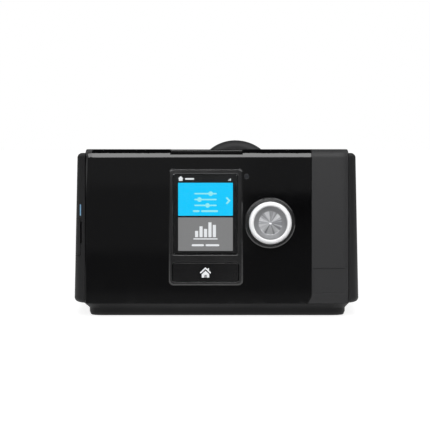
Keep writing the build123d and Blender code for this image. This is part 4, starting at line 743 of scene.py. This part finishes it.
# The other cards are of one grey each: on the floor, at the sides, at the back and overhead.
floor_card_end, side_x, side_top, back_y = -0.35, 0.9, 0.5, 1.2
roof_z, roof_front, roof_half = 1.6, -0.73, 0.35
grey_card, black_card = velvet("velvet_grey", 0.12), velvet("velvet_black", 0.02)
panel("front_card", [(-card_half, card_y, card_foot), (card_half, card_y, card_foot),
                     (card_half, card_y, card_top), (-card_half, card_y, card_top)],
      velvet("velvet_front", front_greys))
panel("floor_card", [(-card_half, card_y, card_foot), (card_half, card_y, card_foot),
                     (card_half, floor_card_end, card_foot), (-card_half, floor_card_end, card_foot)],
      velvet("velvet_floor", 0.2))
for x in (-side_x, side_x):
    panel("side_card", [(x, card_y, card_foot), (x, back_y, card_foot), (x, back_y, side_top),
                        (x, card_y, side_top)], grey_card)
panel("back_card", [(-side_x, back_y, card_foot), (side_x, back_y, card_foot), (side_x, back_y, roof_z),
                    (-side_x, back_y, roof_z)], black_card)
panel("roof_card", [(-roof_half, roof_front, roof_z), (roof_half, roof_front, roof_z),
                    (roof_half, back_y, roof_z), (-roof_half, back_y, roof_z)], black_card)

# The lamp leans over the camera, and a bright card stands beside it at both ends.
softbox_low, softbox_high, softbox_width = Vector((0, -0.71, 0.31)), Vector((0, -0.33, 0.72)), 0.42
softbox_radiance, bounce_end = 5.5, 0.5
bounce_card = velvet("bounce_card", softbox_radiance)
for side in (-1, 1):
    inner_x, outer_x = side * softbox_width / 2, side * bounce_end
    panel("bounce_card", [(inner_x, *softbox_low.yz), (outer_x, *softbox_low.yz), (outer_x, *softbox_high.yz),
                          (inner_x, *softbox_high.yz)], bounce_card)

softbox_length = (softbox_high - softbox_low).length
softbox_data = bpy.data.lights.new("softbox", "AREA")
softbox_data.shape = "RECTANGLE"
softbox_data.size, softbox_data.size_y = softbox_width, softbox_length
softbox_data.energy = softbox_radiance * pi * softbox_width * softbox_length
softbox = bpy.data.objects.new("softbox", softbox_data)
softbox.location = (softbox_low + softbox_high) / 2
softbox_along = (softbox_high - softbox_low).normalized()
softbox_back = Vector((1, 0, 0)).cross(softbox_along)
softbox.rotation_euler = Matrix((Vector((1, 0, 0)), softbox_along, softbox_back)).transposed().to_euler()
scene.collection.objects.link(softbox)

# The surround is white where it is seen, and gives the object a dimmer, even light.
surround_light, surround_seen = 0.45, 1.0
world = bpy.data.worlds.new("white_surround")
scene.world = world
world.use_nodes = True
tree = world.node_tree
tree.nodes.clear()
strength = add(tree, "ShaderNodeMapRange", {"Value": seen_directly(tree), "To Min": surround_light,
                                            "To Max": surround_seen})
surround = add(tree, "ShaderNodeBackground", {"Color": (1, 1, 1, 1), "Strength": strength.outputs[0]})
add(tree, "ShaderNodeOutputWorld", {"Surface": surround.outputs[0]})

# ---------------------------------------------------------------- camera
# It stands 0.7 m in front of the fascia's lower edge, a little above the machine, and looks down at it
# by a few degrees through a long lens.
camera_lens, camera_sensor = 84.73, 36.0
camera_x, camera_distance, camera_height, camera_pitch = -0.00106, 0.7, 0.126, 4.3725
camera_data = bpy.data.cameras.new("camera")
camera_data.lens, camera_data.sensor_width = camera_lens, camera_sensor
camera = bpy.data.objects.new("camera", camera_data)
camera.location = (camera_x, face_y * MM - camera_distance, camera_height)
camera.rotation_euler = (radians(90 - camera_pitch), 0, 0)
scene.collection.objects.link(camera)
scene.camera = camera
